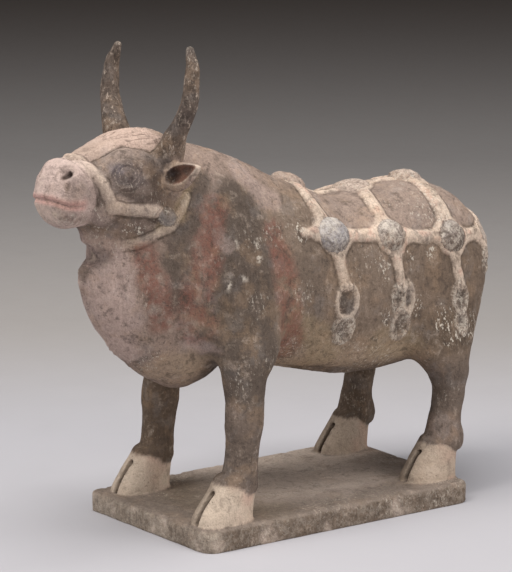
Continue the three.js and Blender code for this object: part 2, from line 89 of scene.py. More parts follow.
# Legs: each row is (z, centre x, centre y, half width in x, half depth in y)
FORELEG = [(36, 53, -86, 11.5, 12.5), (48, 53, -82.5, 12.3, 12.6), (58, 53, -81.5, 11.6, 11.9),
           (71, 53, -80, 12, 12.3), (86, 53, -78.5, 13.6, 14), (101, 52, -77.5, 13.4, 13.7),
           (115, 50, -76, 14.5, 15.8), (126, 49, -73, 16, 21), (138, 46, -72, 17, 28),
           (158, 38, -75, 18.5, 34), (185, 30, -78, 16, 30), (202, 24, -80, 8, 14)]
HINDLEG = [(38, 53, 110, 13, 13), (46, 53, 112, 13.8, 16), (58, 53, 112, 12.6, 13.2),
           (70, 53, 114.3, 11.8, 12), (84, 53, 116.6, 12, 12.3), (94, 52.5, 116.5, 13.6, 16),
           (104, 51.5, 113, 15.5, 20.5), (114, 50, 110, 17.5, 27), (126, 47, 109.5, 19, 33),
           (145, 42, 112, 20.5, 39), (170, 36, 118, 20, 38), (198, 28, 120, 10, 20)]
LEG_BLEND = 11

# Hooves: each row is (height over the plinth, shift in y, half width, half depth)
HOOF_ROWS = [(-2, -2, 15.6, 23.5), (3, -1.6, 15.4, 23), (13, 2, 14.4, 20), (23, 6.5, 13.4, 16.8),
             (30, 9.3, 12.8, 14.6), (33.5, 10, 10.5, 11.5)]
HOOF_POWER = 2.5
HOOVES = [(52.5, -96), (52.5, 98)]
CLEFT = {"half": 1.4, "depth": 6, "pit_rise": 21, "pit": 2.6, "lip": 0.3}
# Pads over the heels, flat below
FETLOCKS = [(53, -79.5, 41.5), (53, 117.5, 41.5)]
FETLOCK = {"half": (11.5, 9.5, 8), "under": 37.5}

# Horns: centre line of the left one and radii of both; the right one is stouter and further in
HORN_LINE = [(33, -127, 278), (38, -126.5, 289), (46, -124.6, 302), (52.4, -122.6, 318),
             (52.2, -121, 334), (46.6, -119, 349)]
LEFT_HORN = {"inwards": 0,
             "radii": [(0, 10), (0.15, 8.8), (0.35, 6.4), (0.6, 5.5), (0.85, 4.2), (1, 2.4)]}
RIGHT_HORN = {"inwards": 3,
              "radii": [(0, 10.6), (0.15, 9.8), (0.35, 8), (0.6, 6.4), (0.85, 4.5), (1, 2.5)]}

EAR = {"at": (46.5, -126.5, 264.6), "half": (16.6, 5.4, 9.4), "lift": 0.42, "sweep": 0.36, "taper": 0.4,
       "hollow_shift": (2.2, -4.6, 1.2), "hollow_half": (13.0, 5.2, 5.4)}

TAIL_LINE = [(0, 150, 226), (0, 163, 212.5), (0, 171, 195), (0, 172, 176), (0, 169, 154), (0, 163, 138)]
TAIL_RADII = [(0, 3), (0.2, 5), (0.4, 5), (0.6, 6.5), (0.8, 7.5), (1, 3)]
TUBE_POINTS = 16

# Muzzle and eye, as points on the left of the head
NOSTRIL = {"at": (17, -198, 266.5), "pit": (2.0, 7, 2.1),
           "dip_at": (16.4, -201.5, 268.6), "dip": (3.0, 4.0, 3.2)}
MOUTH = {"middle": 249.3, "corner": 246.0, "end": -191}
EYE = {"at": (-160, 264.8), "ball": 4.8, "ring": 7.2, "lids": (12.2, 8.4)}
EYE_HEIGHTS = {"ball": 2.0, "ring": 0.4, "lids": 1.0, "socket": 2.4}
# Folds and ridges on the left side: [(y, z), ...], height and half width
MUZZLE_CREASE = [(-189, 276), (-185, 271), (-182.5, 265), (-181, 257), (-180, 251), (-179, 245)]
BROW = [(-175, 269), (-168, 275), (-159, 280), (-150, 280), (-142, 276), (-135, 268)]
CHEST_LINE = [(-152, 200), (-151, 192), (-149, 180), (-146, 167), (-140, 159), (-133, 151)]
CHEST_CREASE = [(-163, 202), (-162, 189), (-160, 180)]
JAW_EDGE = [(-166, 238), (-158, 236.5), (-148, 235), (-139, 232)]
LID_FOLD = [(-171, 265), (-167, 270.5), (-161, 274), (-154, 274), (-149, 271), (-146, 266)]
BELLY_SEAM = [(-8, 111.5), (4, 109), (18, 105.5), (30, 103.5), (42, 103)]
FOLDS = [(MUZZLE_CREASE, -1.2, 2.0), (BROW, 1.5, 2.4), (LID_FOLD, 0.9, 1.4), (CHEST_LINE, 0.8, 1.1),
         (CHEST_CREASE, -0.9, 2.2), (JAW_EDGE, -0.9, 1.2), (BELLY_SEAM, 1.7, 1.8)]
JAW_KNOB = {"at": (-175, 233), "radius": 7, "height": 1.6}

# Bridle on the head: the noseband by (angle about the head, y), the rest by (y, z)
NOSEBAND = [(-90, -164), (-20, -169.5), (0, -173.4), (25, -178.5), (50, -184), (90, -188)]
NOSEBAND_HALF = 3.7
CHEEK_STRAP = [(-166, 243), (-156, 241), (-147, 240), (-137, 239)]
THROAT_STRAP = [(-128, 229), (-137, 224.5), (-145, 219.5), (-154, 216.5), (-162, 215.5), (-171, 217)]
JAW_STRAP = [(-116, 249), (-119, 242), (-123, 236), (-127, 231)]
HEAD_STRAPS = [(CHEEK_STRAP, 4.4), (THROAT_STRAP, 3.1), (JAW_STRAP, 2.8)]
DISC = {"at": (-131, 235), "radius": 6.2, "height": 3.4, "tone": 7}
# Forehead piece: (y, half width)
FOREHEAD = [(-191, 4), (-186, 9.5), (-180, 12.5), (-169, 14.5), (-160, 15), (-156, 15.5), (-150, 20.5),
            (-141, 25.5), (-128, 31), (-118, 33)]
FOREHEAD_PROUD = 2.2
HAIR = {"height": 0.75, "pitch": 5.2, "lean": 0.28, "wave": 0.9}

# Harness: cross straps leave the spine, bow forwards and end at the flank rosettes
# Each row is (y on the spine, y on the flank, bow, half width)
CROSS_STRAPS = [(2, 2.5, -9, 4.8), (66, 54.5, -7.5, 5.0), (118, 112, -5, 6.8), (158, 152, 0, 4.4)]
ROSETTE_Y = [strap[1] for strap in CROSS_STRAPS[:3]]
TAIL_BOSS_Y = CROSS_STRAPS[3][1]
FLANK_HEIGHT = [(-20, 216), (2, 212.5), (55, 208), (113, 202.5), (166, 201)]
FLANK_STRAP = {"ends": (-24, 164), "half": 4.8}
SPINE_STRAP = {"ends": (-8, 163), "half": 3.6}
ROUTE_POINTS = 16
# How far the bands stand out, how slowly their edges fall and how much they fill their corners
BANDS = {"strap": {"proud": 2.7, "slope": 2.8, "fillet": 15},
         "bridle": {"proud": 2.2, "slope": 3.0, "fillet": 2.5}}
BAND_WANDER = 0.9
# Bosses: (radius, height), those on the spine with their y in front
ROSETTES = [(13.2, 8.2), (12.0, 7.2), (12.0, 6.2)]
SPINE_BOSSES = [(0, 13.5, 7.8), (61, 14, 6.6), (115, 13.5, 8.6)]
TAIL_BOSS = {"radius": 8.6, "height": 2.2}
# Pendants: how far they lean back by how far they hang down, and their necks
PENDANT_LEAN = [(0, 0), (20, 3), (44, 7), (75, 9)]
PENDANT_NECK = {"ends": (8, 37), "half": [(0, 7), (0.3, 4.6), (0.65, 3.9), (1, 4.6)]}
# Lobes of the three pendants: (across, down, half across, half up, height, dark middle)
PENDANT_LOBES = [
    [(0.3, 48, 10.4, 14.0, 3.0, 1.0), (-0.9, 69, 9.4, 12.5, 2.0, 0.35)],
    [(-4.4, 46, 6.2, 10.0, 2.2, 0.2), (5.0, 47, 6.0, 14.0, 3.0, 0.9), (-0.6, 66, 9.0, 14.0, 2.0, 0.4)],
    [(-1.9, 47, 8.2, 13.5, 2.6, 0.35), (-2.8, 65, 6.8, 10.0, 1.7, 0.3)],
]
TAIL_PENDANT = {"ends": (4, 20), "half": 3.2, "lobe_down": 21, "lobe": (6.4, 10), "height": 1.8,
                "dark": 0.2}
# How far from the skin its relief still counts
REACH = 12

# Where each form is joined or cut: (low corner, high corner, how softly it blends)
ROOMS = {
    "trunk": ((-84, -205, 80), (84, 195, 310), 0.1),
    "head": ((-60, -235, 190), (60, -75, 315), 9),
    "tail": ((-14, 130, 120), (14, 190, 245), 3),
    "throat fold": ((-70, -205, 190), (70, -165, 226), 3),
    "horns": ((-80, -150, 255), (80, -95, 362), 6),
    "ears": ((-80, -155, 240), (80, -95, 290), 2.5),
    "ear hollows": ((-80, -155, 240), (80, -95, 290), 1.2),
    "plinth": ((-95, -145, -8), (95, 145, 30), 1.5),
}
LEG_ROOMS = [(FORELEG, -135, -20), (HINDLEG, 55, 185)]

# Noises that stir the skin: (amount in millimetres, size of the lumps, seed)
UNEVEN = [(0.45, 24, 1), (0.26, 8, 2), (0.14, 3.2, 3)]
BROKEN_KEEL = [(3.2, 8, 4), (1.6, 3.2, 5)]
CHIPS = [(1, 11, 6), (0.6, 4, 7)]
GRANULES = [(0.42, 2.8, 8), (0.30, 4.6, 9)]
STRAP_EDGE = [(0.7, 11, 31), (0.45, 4.5, 32)]
SLAB_PATCHES = [(1, 13, 44), (0.5, 5, 45)]


def through(pairs):
    """Smooth, monotone curve through (position, value) pairs"""
    at, value = np.array(pairs, float).T
    span = np.diff(at)
    rise = np.diff(value) / span
    slope = np.concatenate(([rise[0]], np.zeros(len(at) - 2), [rise[-1]]))
    product = rise[:-1] * rise[1:]
    total = np.where(product > 0, rise[:-1] + rise[1:], 1)
    slope[1:-1] = np.where(product > 0, 2 * product / total, 0)

    def curve(position):
        s = np.clip(position, at[0], at[-1])
        i = np.clip(np.searchsorted(at, s, side="right") - 1, 0, len(span) - 1)
        t = (s - at[i]) / span[i]
        start = (1 + 2 * t) * (1 - t) ** 2 * value[i] + t * (1 - t) ** 2 * span[i] * slope[i]
        end = t * t * (3 - 2 * t) * value[i + 1] - t * t * (1 - t) * span[i] * slope[i + 1]
        return start + end

    return curve


def smooth_line(points, count):
    """Points along a smooth curve through the given ones"""
    places = np.linspace(0, 1, len(points))
    wanted = np.linspace(0, 1, count)
    columns = [through(list(zip(places, column)))(wanted) for column in np.array(points, float).T]
    return np.stack(columns, axis=1)


def ramp(low, high, value):
    """0 at low, 1 at high and soft between; falling when high is below low"""
    t = np.clip((value - low) / (high - low), 0, 1)
    return t * t * (3 - 2 * t)


def smooth_min(a, b, width):
    """The lesser of two distances, rounded where they meet"""
    share = np.clip(0.5 + 0.5 * (b - a) / width, 0, 1)
    return b + (a - b) * share - width * share * (1 - share)


def smooth_max(a, b, width):
    return -smooth_min(-a, -b, width)


def unit(vectors):
    return vectors / np.maximum(np.linalg.norm(vectors, axis=-1, keepdims=True), 1e-9)


def bump(distance, width):
    """A soft hill, one at distance 0"""
    return np.exp(-np.square(distance / width))


def between_corners(cell, share, value_at):
    """Blend of the values at the eight corners of each cell, by the share along each axis"""
    total = 0
    for corner in np.ndindex(2, 2, 2):
        weight = np.prod(np.where(corner, share, 1 - share), axis=-1)
        total = total + weight * value_at(cell + corner)
    return total


def noise(points, size, seed):
    """Smooth noise from -1 to 1 whose lumps are about one size across"""
    cells = 32
    lattice = np.random.default_rng(seed).uniform(-1, 1, (cells, cells, cells)).astype(np.float32)
    place = points / size + 7.31 * seed
    cell = np.floor(place).astype(int)
    t = place - cell
    t = t * t * (3 - 2 * t)
    return between_corners(cell, t, lambda corner: lattice[tuple((corner % cells).T)])


def noises(points, rows):
    """Sum of noises, each row (amount, size, seed)"""
    return sum(amount * noise(points, size, seed) for amount, size, seed in rows)


class Block:
    """A regular block of sample points"""

    def __init__(self, low, high, step):
        self.low = np.array(low, float)
        self.step = step
        self.axes = [np.arange(a, b, step, dtype=np.float32) for a, b in zip(low, high)]
        self.shape = tuple(len(axis) for axis in self.axes)

    def part(self, low, high):
        """Index and coordinates of the points inside a smaller box"""
        index = tuple(slice(*np.searchsorted(axis, ends)) for axis, *ends in zip(self.axes, low, high))
        return index, *np.ix_(*(axis[span] for axis, span in zip(self.axes, index)))

    def places(self, mask):
        return self.low + np.argwhere(mask) * self.step


class Cloud:
    """Loose points, such as the vertices of a mesh"""

    def __init__(self, points):
        self.points = points
        self.shape = (len(points),)

    def part(self, low, high):
        inside = np.logical_and(self.points >= low, self.points <= high).all(axis=1)
        index = np.flatnonzero(inside)
        return (index,), *self.points[index].T

    def places(self, mask):
        return self.points[mask]


class Body:
    """A form whose sections across Y are egg-shaped superellipses, rounded off at both ends"""

    def __init__(self, outline):
        self.ends = outline["ends"]
        self.top, self.bottom, self.half, self.widest, self.upper, self.lower = (
            through(outline[key]) for key in ("top", "bottom", "half", "widest", "upper", "lower"))

    def shares(self, y):
        """How far y is into the rounding of each end, with the rounding's power"""
        front, reach, power = self.ends["front"]
        yield np.maximum((front + reach - y) / reach, 0), power
        back, reach, power = self.ends["back"]
        yield np.maximum((y - back + reach) / reach, 0), power

    def value(self, x, y, z):
        """One on the surface, less inside, more outside"""
        widest = self.widest(y)
        upper = z >= widest
        power = np.where(upper, self.upper(y), self.lower(y)).astype(np.float32)
        reach = np.where(upper, self.top(y) - widest, widest - self.bottom(y)).astype(np.float32)
        across = np.abs(x) / self.half(y).astype(np.float32)
        rise = np.abs(z - widest) / reach
        value = (across ** power + rise ** power) ** (1 / power)
        for share, rounding in self.shares(y):
            value = (value ** rounding + share ** rounding) ** (1 / rounding)
        return value

    def point(self, y, degrees):
        """The surface point at y; angle 0 is the left side at its widest, 90 the top"""
        y, degrees = np.broadcast_arrays(np.asarray(y, float), np.asarray(degrees, float))
        cosine, sine = np.cos(np.radians(degrees)), np.sin(np.radians(degrees))
        size = 1
        for share, rounding in self.shares(y):
            size = size * (1 - np.minimum(share, 1) ** rounding) ** (1 / rounding)
        widest = self.widest(y)
        power = 2 / np.where(sine >= 0, self.upper(y), self.lower(y))
        reach = np.where(sine >= 0, self.top(y) - widest, widest - self.bottom(y))
        x = self.half(y) * size * np.sign(cosine) * np.abs(cosine) ** power
        z = widest + reach * size * np.sign(sine) * np.abs(sine) ** power
        return np.stack([x, y, z], axis=-1)

    def normal(self, y, degrees):
        along = self.point(y + 0.5, degrees) - self.point(y - 0.5, degrees)
        around = self.point(y, degrees + 1.5) - self.point(y, degrees - 1.5)
        return unit(np.cross(along, around))

    def angle_at(self, y, z):
        """The angle on the section at y that lies at height z"""
        low, high = np.full(np.shape(y), -89.0), np.full(np.shape(y), 89.0)
        for _ in range(30):
            middle = (low + high) / 2
            below = self.point(y, middle)[..., 2] < z
            low, high = np.where(below, middle, low), np.where(below, high, middle)
        return low

    def on(self, y, degrees):
        return self.point(y, degrees), self.normal(y, degrees)


trunk = Body(TRUNK)
head = Body(HEAD)


def true_distance(value, step):
    """Distances from a form's value minus one, by its slope"""
    slopes = np.gradient(value, step)
    slope = np.sqrt(sum(part * part for part in slopes))
    return np.clip(value / np.maximum(slope, 1e-3), -FAR, FAR)


def column_value(rows, power=2):
    """Value of an upright limb given by its rows"""
    z_rows = [row[0] for row in rows]
    centre_x, centre_y, half_x, half_y = (
        through(list(zip(z_rows, column))) for column in list(zip(*rows))[1:])

    def value(x, y, z):
        across = np.abs(np.abs(x) - centre_x(z)) / half_x(z)
        along = np.abs(y - centre_y(z)) / half_y(z)
        return (across ** power + along ** power) ** (1 / power) - 1

    return value


def from_segment(a, b, x, y, z):
    """How far along a segment each point is, and its way from there"""
    along = b - a
    dx, dy, dz = x - a[0], y - a[1], z - a[2]
    t = np.clip((dx * along[0] + dy * along[1] + dz * along[2]) / (along @ along), 0, 1)
    return t, dx - t * along[0], dy - t * along[1], dz - t * along[2]


def tube_distance(line, radii, x, y, z):
    """Distance to a round tube along a line"""
    best = FAR
    for a, b, start, end in zip(line[:-1], line[1:], radii[:-1], radii[1:]):
        t, dx, dy, dz = from_segment(a, b, x, y, z)
        best = np.minimum(best, np.sqrt(dx ** 2 + dy ** 2 + dz ** 2) - (start + (end - start) * t))
    return best


def ellipsoid_distance(centre, half, x, y, z):
    places = [(x - centre[0]) / half[0], (y - centre[1]) / half[1], (z - centre[2]) / half[2]]
    value = np.sqrt(sum(place * place for place in places))
    slope = np.sqrt(sum((place / size) ** 2 for place, size in zip(places, half)))
    return value * (value - 1) / np.maximum(slope, 1e-6)


def horns_distance(x, y, z):
    sides = []
    for horn, across in ((LEFT_HORN, x), (RIGHT_HORN, -x)):
        line = smooth_line(HORN_LINE, TUBE_POINTS) - (horn["inwards"], 0, 0)
        radii = through(horn["radii"])(np.linspace(0, 1, TUBE_POINTS))
        sides.append(tube_distance(line, radii, across, y, z))
    return np.minimum(*sides)


def ear_axes():
    """Length, front-to-back and height axes of the left ear"""
    lift, sweep = EAR["lift"], EAR["sweep"]
    length = np.array([math.cos(lift) * math.cos(sweep), math.cos(lift) * math.sin(sweep),
                       math.sin(lift)])
    thick = np.array([-math.sin(sweep), math.cos(sweep), 0.0])
    return length, thick, np.cross(length, thick)


def leaf_value(centre, half, x, y, z):
    """Value of a leaf-shaped pad that lies in the ear's axes"""
    dx, dy, dz = np.abs(x) - centre[0], y - centre[1], z - centre[2]
    length, thick, height = ((dx * axis[0] + dy * axis[1] + dz * axis[2]) / size
                             for axis, size in zip(ear_axes(), half))
    height = height / (1 - EAR["taper"] * np.clip(length, -0.6, 1))
    leaf = (np.abs(length) ** 1.7 + np.abs(height) ** 1.7) ** (1 / 1.7)
    return np.sqrt(leaf ** 2 + thick ** 2) - 1


def hoof_value(centre_x, centre_y):
    rows = [(PLINTH_TOP + rise, centre_x, centre_y + shift, half, depth)
            for rise, shift, half, depth in HOOF_ROWS]
    return column_value(rows, HOOF_POWER)


def plinth_distance(x, y, z):
    """A slab with hand-cut sides, rounded corners and a soft top edge"""
    corners = np.array([corner[:2] for corner in PLINTH_CORNERS], float)
    outline = None
    for i, corner in enumerate(corners):
        along = unit(corners[(i + 1) % 4] - corner)
        side = (x - corner[0]) * along[1] - (y - corner[1]) * along[0]
        rounding = PLINTH_CORNERS[i][2] * 0.8
        outline = side if outline is None else smooth_max(outline, side, rounding)
    top = smooth_max(outline, z - PLINTH_TOP, PLINTH_EDGE * 1.6)
    return smooth_max(top, -z, 0.6)


class Skin:
    """The smooth figure before its relief, for finding places on its left side"""

    def __init__(self, block, field):
        self.block = block
        self.field = field

    def distance(self, points):
        """The field between its sample points"""
        last = np.array(self.block.shape) - 1.001
        place = np.clip((points - self.block.low) / self.block.step, 0, last)
        cell = place.astype(int)
        return between_corners(cell, place - cell,
                               lambda corner: self.field[tuple(np.moveaxis(corner, -1, 0))])

    def side(self, y, z):
        """Outermost point and normal on the left side at each y and height z"""
        y, z = np.broadcast_arrays(np.asarray(y, float), np.asarray(z, float))
        line = np.stack(np.broadcast_arrays(SEARCH_X, y[..., None], z[..., None]), axis=-1)
        inside = self.distance(line) < 0
        first = np.maximum(np.argmax(inside, axis=-1), 1)
        point = np.stack([SEARCH_X[first], y, z], axis=-1)
        for _ in range(3):
            point[..., 0] -= self.distance(point) * 0.8
        steps = 1.6 * np.eye(3)
        slope = [self.distance(point + step) - self.distance(point - step) for step in steps]
        return point, unit(np.stack(slope, axis=-1))


class Relief:
    """Raised work on the skin: its height, and distances to its edges, negative inside"""

    def __init__(self, samples, skin):
        self.samples = samples
        self.skin = skin
        self.height = np.zeros(samples.shape, np.float32)
        names = ("strap", "bridle", "boss", "lobe", "plate", "eye", "groove")
        self.edge = {name: np.full(samples.shape, FAR, np.float32) for name in names}
        self.tone = {name: np.zeros(samples.shape, np.float32) for name in ("boss", "lobe")}

    def raise_to(self, index, height):
        self.height[index] = np.maximum(smooth_max(self.height[index], height, 0.8), self.height[index])

    def add(self, index, height):
        self.height[index] += height.astype(np.float32)

    def near(self, points, margin):
        return self.samples.part(points.min(axis=0) - margin, points.max(axis=0) + margin)

    def lower_edge(self, layer, index, side, tone=None):
        """Keep the nearest edge of a layer, with the tone of what it belongs to"""
        edge = self.edge[layer]
        if tone is not None:
            self.tone[layer][index] = np.where(side < edge[index], tone, self.tone[layer][index])
        edge[index] = np.minimum(edge[index], side)

    def band(self, layer, route, half, both=True):
        """Lay a band along (points, normals); half is its half width along the route"""
        edge = self.edge[layer]
        for one in both_sides(route, both):
            index, side = self.beside(one, half)
            edge[index] = smooth_min(edge[index], side, BANDS[layer]["fillet"])

    def fold(self, route, height, width):
        """A ridge, or with a negative height a groove, along a route"""
        for one in both_sides(route):
            index, side = self.beside(one, 0)
            ends = ramp(FAR, FAR - 1, side)
            self.add(index, height * bump(side, width) * ends)
            if height < 0:
                self.lower_edge("groove", index, side)

    def beside(self, route, half):
        """Distance along the skin to a route, less its half width"""
        points, normals = route
        half = np.broadcast_to(half, len(points))
        index, x, y, z = self.near(points, REACH + 2)
        side = FAR
        for i in range(len(points) - 1):
            t, dx, dy, dz = from_segment(points[i], points[i + 1], x, y, z)
            normal = [normals[i][k] + t * (normals[i + 1][k] - normals[i][k]) for k in range(3)]
            out = dx * normal[0] + dy * normal[1] + dz * normal[2]
            away = np.sqrt(np.maximum(dx * dx + dy * dy + dz * dz - out * out, 0))
            width = half[i] + t * (half[i + 1] - half[i])
            side = np.minimum(side, np.where(np.abs(out) < REACH, away - width, FAR))
        return index, side

    def local(self, place, up, margin):
        """Points near a place on the skin, in its own axes: across, up and out"""
        point, normal = place
        rise = unit(np.asarray(up, float) - np.dot(up, normal) * normal)
        across = np.cross(rise, normal)
        index, x, y, z = self.near(point[None], margin)
        dx, dy, dz = x - point[0], y - point[1], z - point[2]
        return index, *(dx * axis[0] + dy * axis[1] + dz * axis[2] for axis in (across, rise, normal))

    def dome(self, place, radius, height, tone, both=True):
        """A round boss, flat enough at its rim to show its edge"""
        up = (0, 0, 1) if abs(place[1][2]) < 0.8 else (0, 1, 0)
        for one in both_sides(place, both):
            index, u, v, out = self.local(one, up, radius + REACH)
            side = np.where(np.abs(out) < REACH + 1, np.sqrt(u * u + v * v), FAR)
            round_top = np.sqrt(np.clip(1 - (side / radius) ** 2, 0, 1))
            self.raise_to(index, height * round_top ** 0.85)
            self.lower_edge("boss", index, side - radius, tone)

    def oval(self, place, half, height, dark):
        """A lobe with a raised rim and a sunk middle"""
        for one in both_sides(place):
            index, u, v, out = self.local(one, (0, 0, 1), max(half) + 10)
            value = np.where(np.abs(out) < REACH, np.sqrt((u / half[0]) ** 2 + (v / half[1]) ** 2), 9)
            side = (value - 1) * half[0]
            rim = ramp(1.8, -0.6, side)
            sunk = ramp(-1.4, -3.6, side)
            self.raise_to(index, height * (rim - 0.6 * sunk))
            self.lower_edge("lobe", index, side, dark)


def both_sides(place, both=True):
    """A place on the left or the middle and, if both, its mirror image on the right"""
    point, normal = place
    flip = np.array([-1, 1, 1])
    return (place, (point * flip, normal * flip)) if both else (place,)


flank_height = through(FLANK_HEIGHT)
pendant_lean = through(PENDANT_LEAN)


def flank_place(relief, y, down=0):
    """The place on the left flank at y, so far below the line of the flank strap"""
    return relief.skin.side(y, flank_height(y) - down)


def lay_harness(relief):
    """Straps and the necks of the pendants"""
    spine = trunk.on(np.linspace(*SPINE_STRAP["ends"], ROUTE_POINTS), np.full(ROUTE_POINTS, 90.0))
    relief.band("strap", spine, SPINE_STRAP["half"], both=False)
    flank = flank_place(relief, np.linspace(*FLANK_STRAP["ends"], ROUTE_POINTS))
    relief.band("strap", flank, FLANK_STRAP["half"])
    for spine_y, flank_y, bow, half in CROSS_STRAPS:
        t = np.linspace(0, 1, 9)
        low = trunk.angle_at(np.array(flank_y), flank_height(flank_y))
        y = flank_y + (spine_y - flank_y) * t + bow * np.sin(np.pi * t)
        relief.band("strap", trunk.on(y, low + (91 - low) * t), half)
    start, end = PENDANT_NECK["ends"]
    t = np.linspace(0, 1, 7)
    down = start + (end - start) * t
    for y in ROSETTE_Y:
        neck = flank_place(relief, y + pendant_lean(down), down)
        relief.band("strap", neck, through(PENDANT_NECK["half"])(t))
    neck = flank_place(relief, TAIL_BOSS_Y + np.linspace(0, 1, 2), np.array(TAIL_PENDANT["ends"]))
    relief.band("strap", neck, TAIL_PENDANT["half"])


def throat_wear(points):
    """How far the throat strap has worn away towards its front end"""
    return ramp(-150, -166, points[:, 1]) * ramp(230, 224, points[:, 2])


def raise_straps(relief):
    """Turn the distances to the edges of the bands into height"""
    for layer, shape in BANDS.items():
        edge = relief.edge[layer]
        near = edge < 6
        places = relief.samples.places(near)
        edge[near] += BAND_WANDER * noises(places, STRAP_EDGE)
        steep = ramp(1.2, -shape["slope"] * 0.6, edge)
        gentle = ramp(0, -shape["slope"] * 1.5, edge)
        height = shape["proud"] * (0.8 * steep + 0.2 * gentle)
        if layer == "bridle":
            height[near] *= 1 - throat_wear(places)
        relief.raise_to(np.s_[:], height)


def lay_bosses(relief):
    """Rosettes, spine bosses and the lobes of the pendants, over the straps"""
    for i, y in enumerate(ROSETTE_Y):
        relief.dome(flank_place(relief, y), *ROSETTES[i], i)
        for across, down, half_across, half_up, height, dark in PENDANT_LOBES[i]:
            place = flank_place(relief, y + across + pendant_lean(down), down)
            relief.oval(place, (half_across, half_up), height, dark)
    relief.dome(flank_place(relief, TAIL_BOSS_Y), TAIL_BOSS["radius"], TAIL_BOSS["height"], 3)
    lobe = flank_place(relief, TAIL_BOSS_Y, TAIL_PENDANT["lobe_down"])
    relief.oval(lobe, TAIL_PENDANT["lobe"], TAIL_PENDANT["height"], TAIL_PENDANT["dark"])
    for i, (y, radius, height) in enumerate(SPINE_BOSSES):
        relief.dome(trunk.on(y, 90.0), radius, height, 4 + i, both=False)


def lay_bridle(relief):
    degrees = np.linspace(-22, 90, 15)
    relief.band("bridle", head.on(through(NOSEBAND)(degrees), degrees), NOSEBAND_HALF)
    for line, half in HEAD_STRAPS:
        relief.band("bridle", relief.skin.side(*smooth_line(line, 8).T), half)


def lay_disc(relief):
    relief.dome(relief.skin.side(*DISC["at"]), DISC["radius"], DISC["height"], DISC["tone"])


def lay_forehead(relief):
    """The padded forehead piece with waved hair towards the horns"""
    index, x, y, z = relief.samples.part((-40, -194, 258), (40, -112, 300))
    side = (np.abs(x) - through(FOREHEAD)(y)) * 1.15
    side = np.maximum(side, -190 - y) + 0 * z
    relief.edge["plate"][index] = side
    raised = FOREHEAD_PROUD * ramp(0.4, -3.2, side) * ramp(-108, -122, y)
    raised = raised * ramp(-193, -176, y)
    incised = 1.5 * bump(side - 0.8, 1.0) * ramp(-112, -130, y)
    strands = np.abs(x) - HAIR["lean"] * (y + 140) + HAIR["wave"] * np.sin(y / 4.5)
    waves = np.sin(2 * np.pi * strands / HAIR["pitch"])
    hair = HAIR["height"] * waves * ramp(-164, -152, y) * ramp(-116, -122, y)
    hair = hair * ramp(-1, -4, side)
    off_horn = ramp(1.5, 5, horns_distance(x, y, z))
    relief.add(index, (raised - incised + hair) * off_horn)
    combed = (np.abs(hair) > 0.1) & (off_horn > 0.5)
    relief.lower_edge("groove", index, np.where(combed, 1.5 + 1.5 * waves, FAR))


def lay_eyes(relief):
    """A ball inside an almond of lids, under a brow"""
    half_long, half_high = EYE["lids"]
    for side in both_sides(relief.skin.side(*EYE["at"])):
        index, u, v, out = relief.local(side, (0, 0, 1), 24)
        near = np.abs(out) < REACH
        away = np.where(near, np.hypot(u, v), FAR)
        almond = np.where(near, np.hypot(u / half_long, v / half_high) - 1, 3) * half_high
        ball = EYE_HEIGHTS["ball"] * np.sqrt(np.clip(1 - (away / (EYE["ball"] + 0.5)) ** 2, 0, 1))
        ring = EYE_HEIGHTS["ring"] * bump(away - EYE["ring"], 0.9)
        lids = EYE_HEIGHTS["lids"] * bump(almond, 1.3)
        socket = EYE_HEIGHTS["socket"] * bump(away, 13) - 0.4 * bump(almond + 2.4, 1.0)
        pupil = 0.9 * bump(np.hypot(u, v - 0.4), 1.2)
        relief.add(index, ball + ring + lids + socket - pupil)
        relief.lower_edge("eye", index, away - EYE["ball"])


def lay_folds(relief):
    for line, height, width in FOLDS:
        relief.fold(relief.skin.side(*smooth_line(line, 12).T), height, width)
    for side in both_sides(relief.skin.side(*JAW_KNOB["at"])):
        index, u, v, out = relief.local(side, (0, 0, 1), 18)
        knob = JAW_KNOB["height"] * bump(np.hypot(u, v), JAW_KNOB["radius"]) * (np.abs(out) < REACH)
        relief.add(index, knob)


def mouth_height(x):
    corner = ramp(10, 24, np.abs(x))
    return MOUTH["middle"] + (MOUTH["corner"] - MOUTH["middle"]) * corner


def lay_mouth(relief):
    """Lips along the mouth's line, and the cuts and the wing about each nostril"""
    index, x, y, z = relief.samples.part((-34, -220, 224), (34, -178, 284))
    fade = ramp(MOUTH["end"] + 4, MOUTH["end"] - 5, y)
    above = z - mouth_height(x)
    lips = 0.9 * bump(above - 3.0, 2.0) + 0.5 * bump(above + 3.2, 2.2) - 1.5 * bump(above, 0.9)
    relief.add(index, lips * fade)
    groove = 0.9 * bump(np.hypot((np.abs(x) - 9) / 0.8, (z - 266) / 3.2), 1)
    comma = 0.9 * bump(np.hypot((np.abs(x) - 20) / 1.6, (z - 259) / 2.6), 1)
    wing = 0.4 * bump(np.hypot((np.abs(x) - 16.6) / 6, (z - 269) / 6) - 1, 0.3)
    front = ramp(-190, -196, y)
    relief.add(index, (wing - groove - comma) * front)


def all_relief(samples, skin):
    relief = Relief(samples, skin)
    for lay in (lay_harness, lay_bridle, raise_straps, lay_bosses, lay_disc, lay_forehead, lay_eyes,
                lay_mouth, lay_folds):
        lay(relief)
    return relief


def unite(field, block, low, high, blend, distance):
    """Join a form into the field inside a box"""
    index, x, y, z = block.part(low, high)
    field[index] = smooth_min(field[index], distance(x, y, z), blend)


def carve(field, block, low, high, blend, distance):
    index, x, y, z = block.part(low, high)
    field[index] = smooth_max(field[index], -distance(x, y, z), blend)


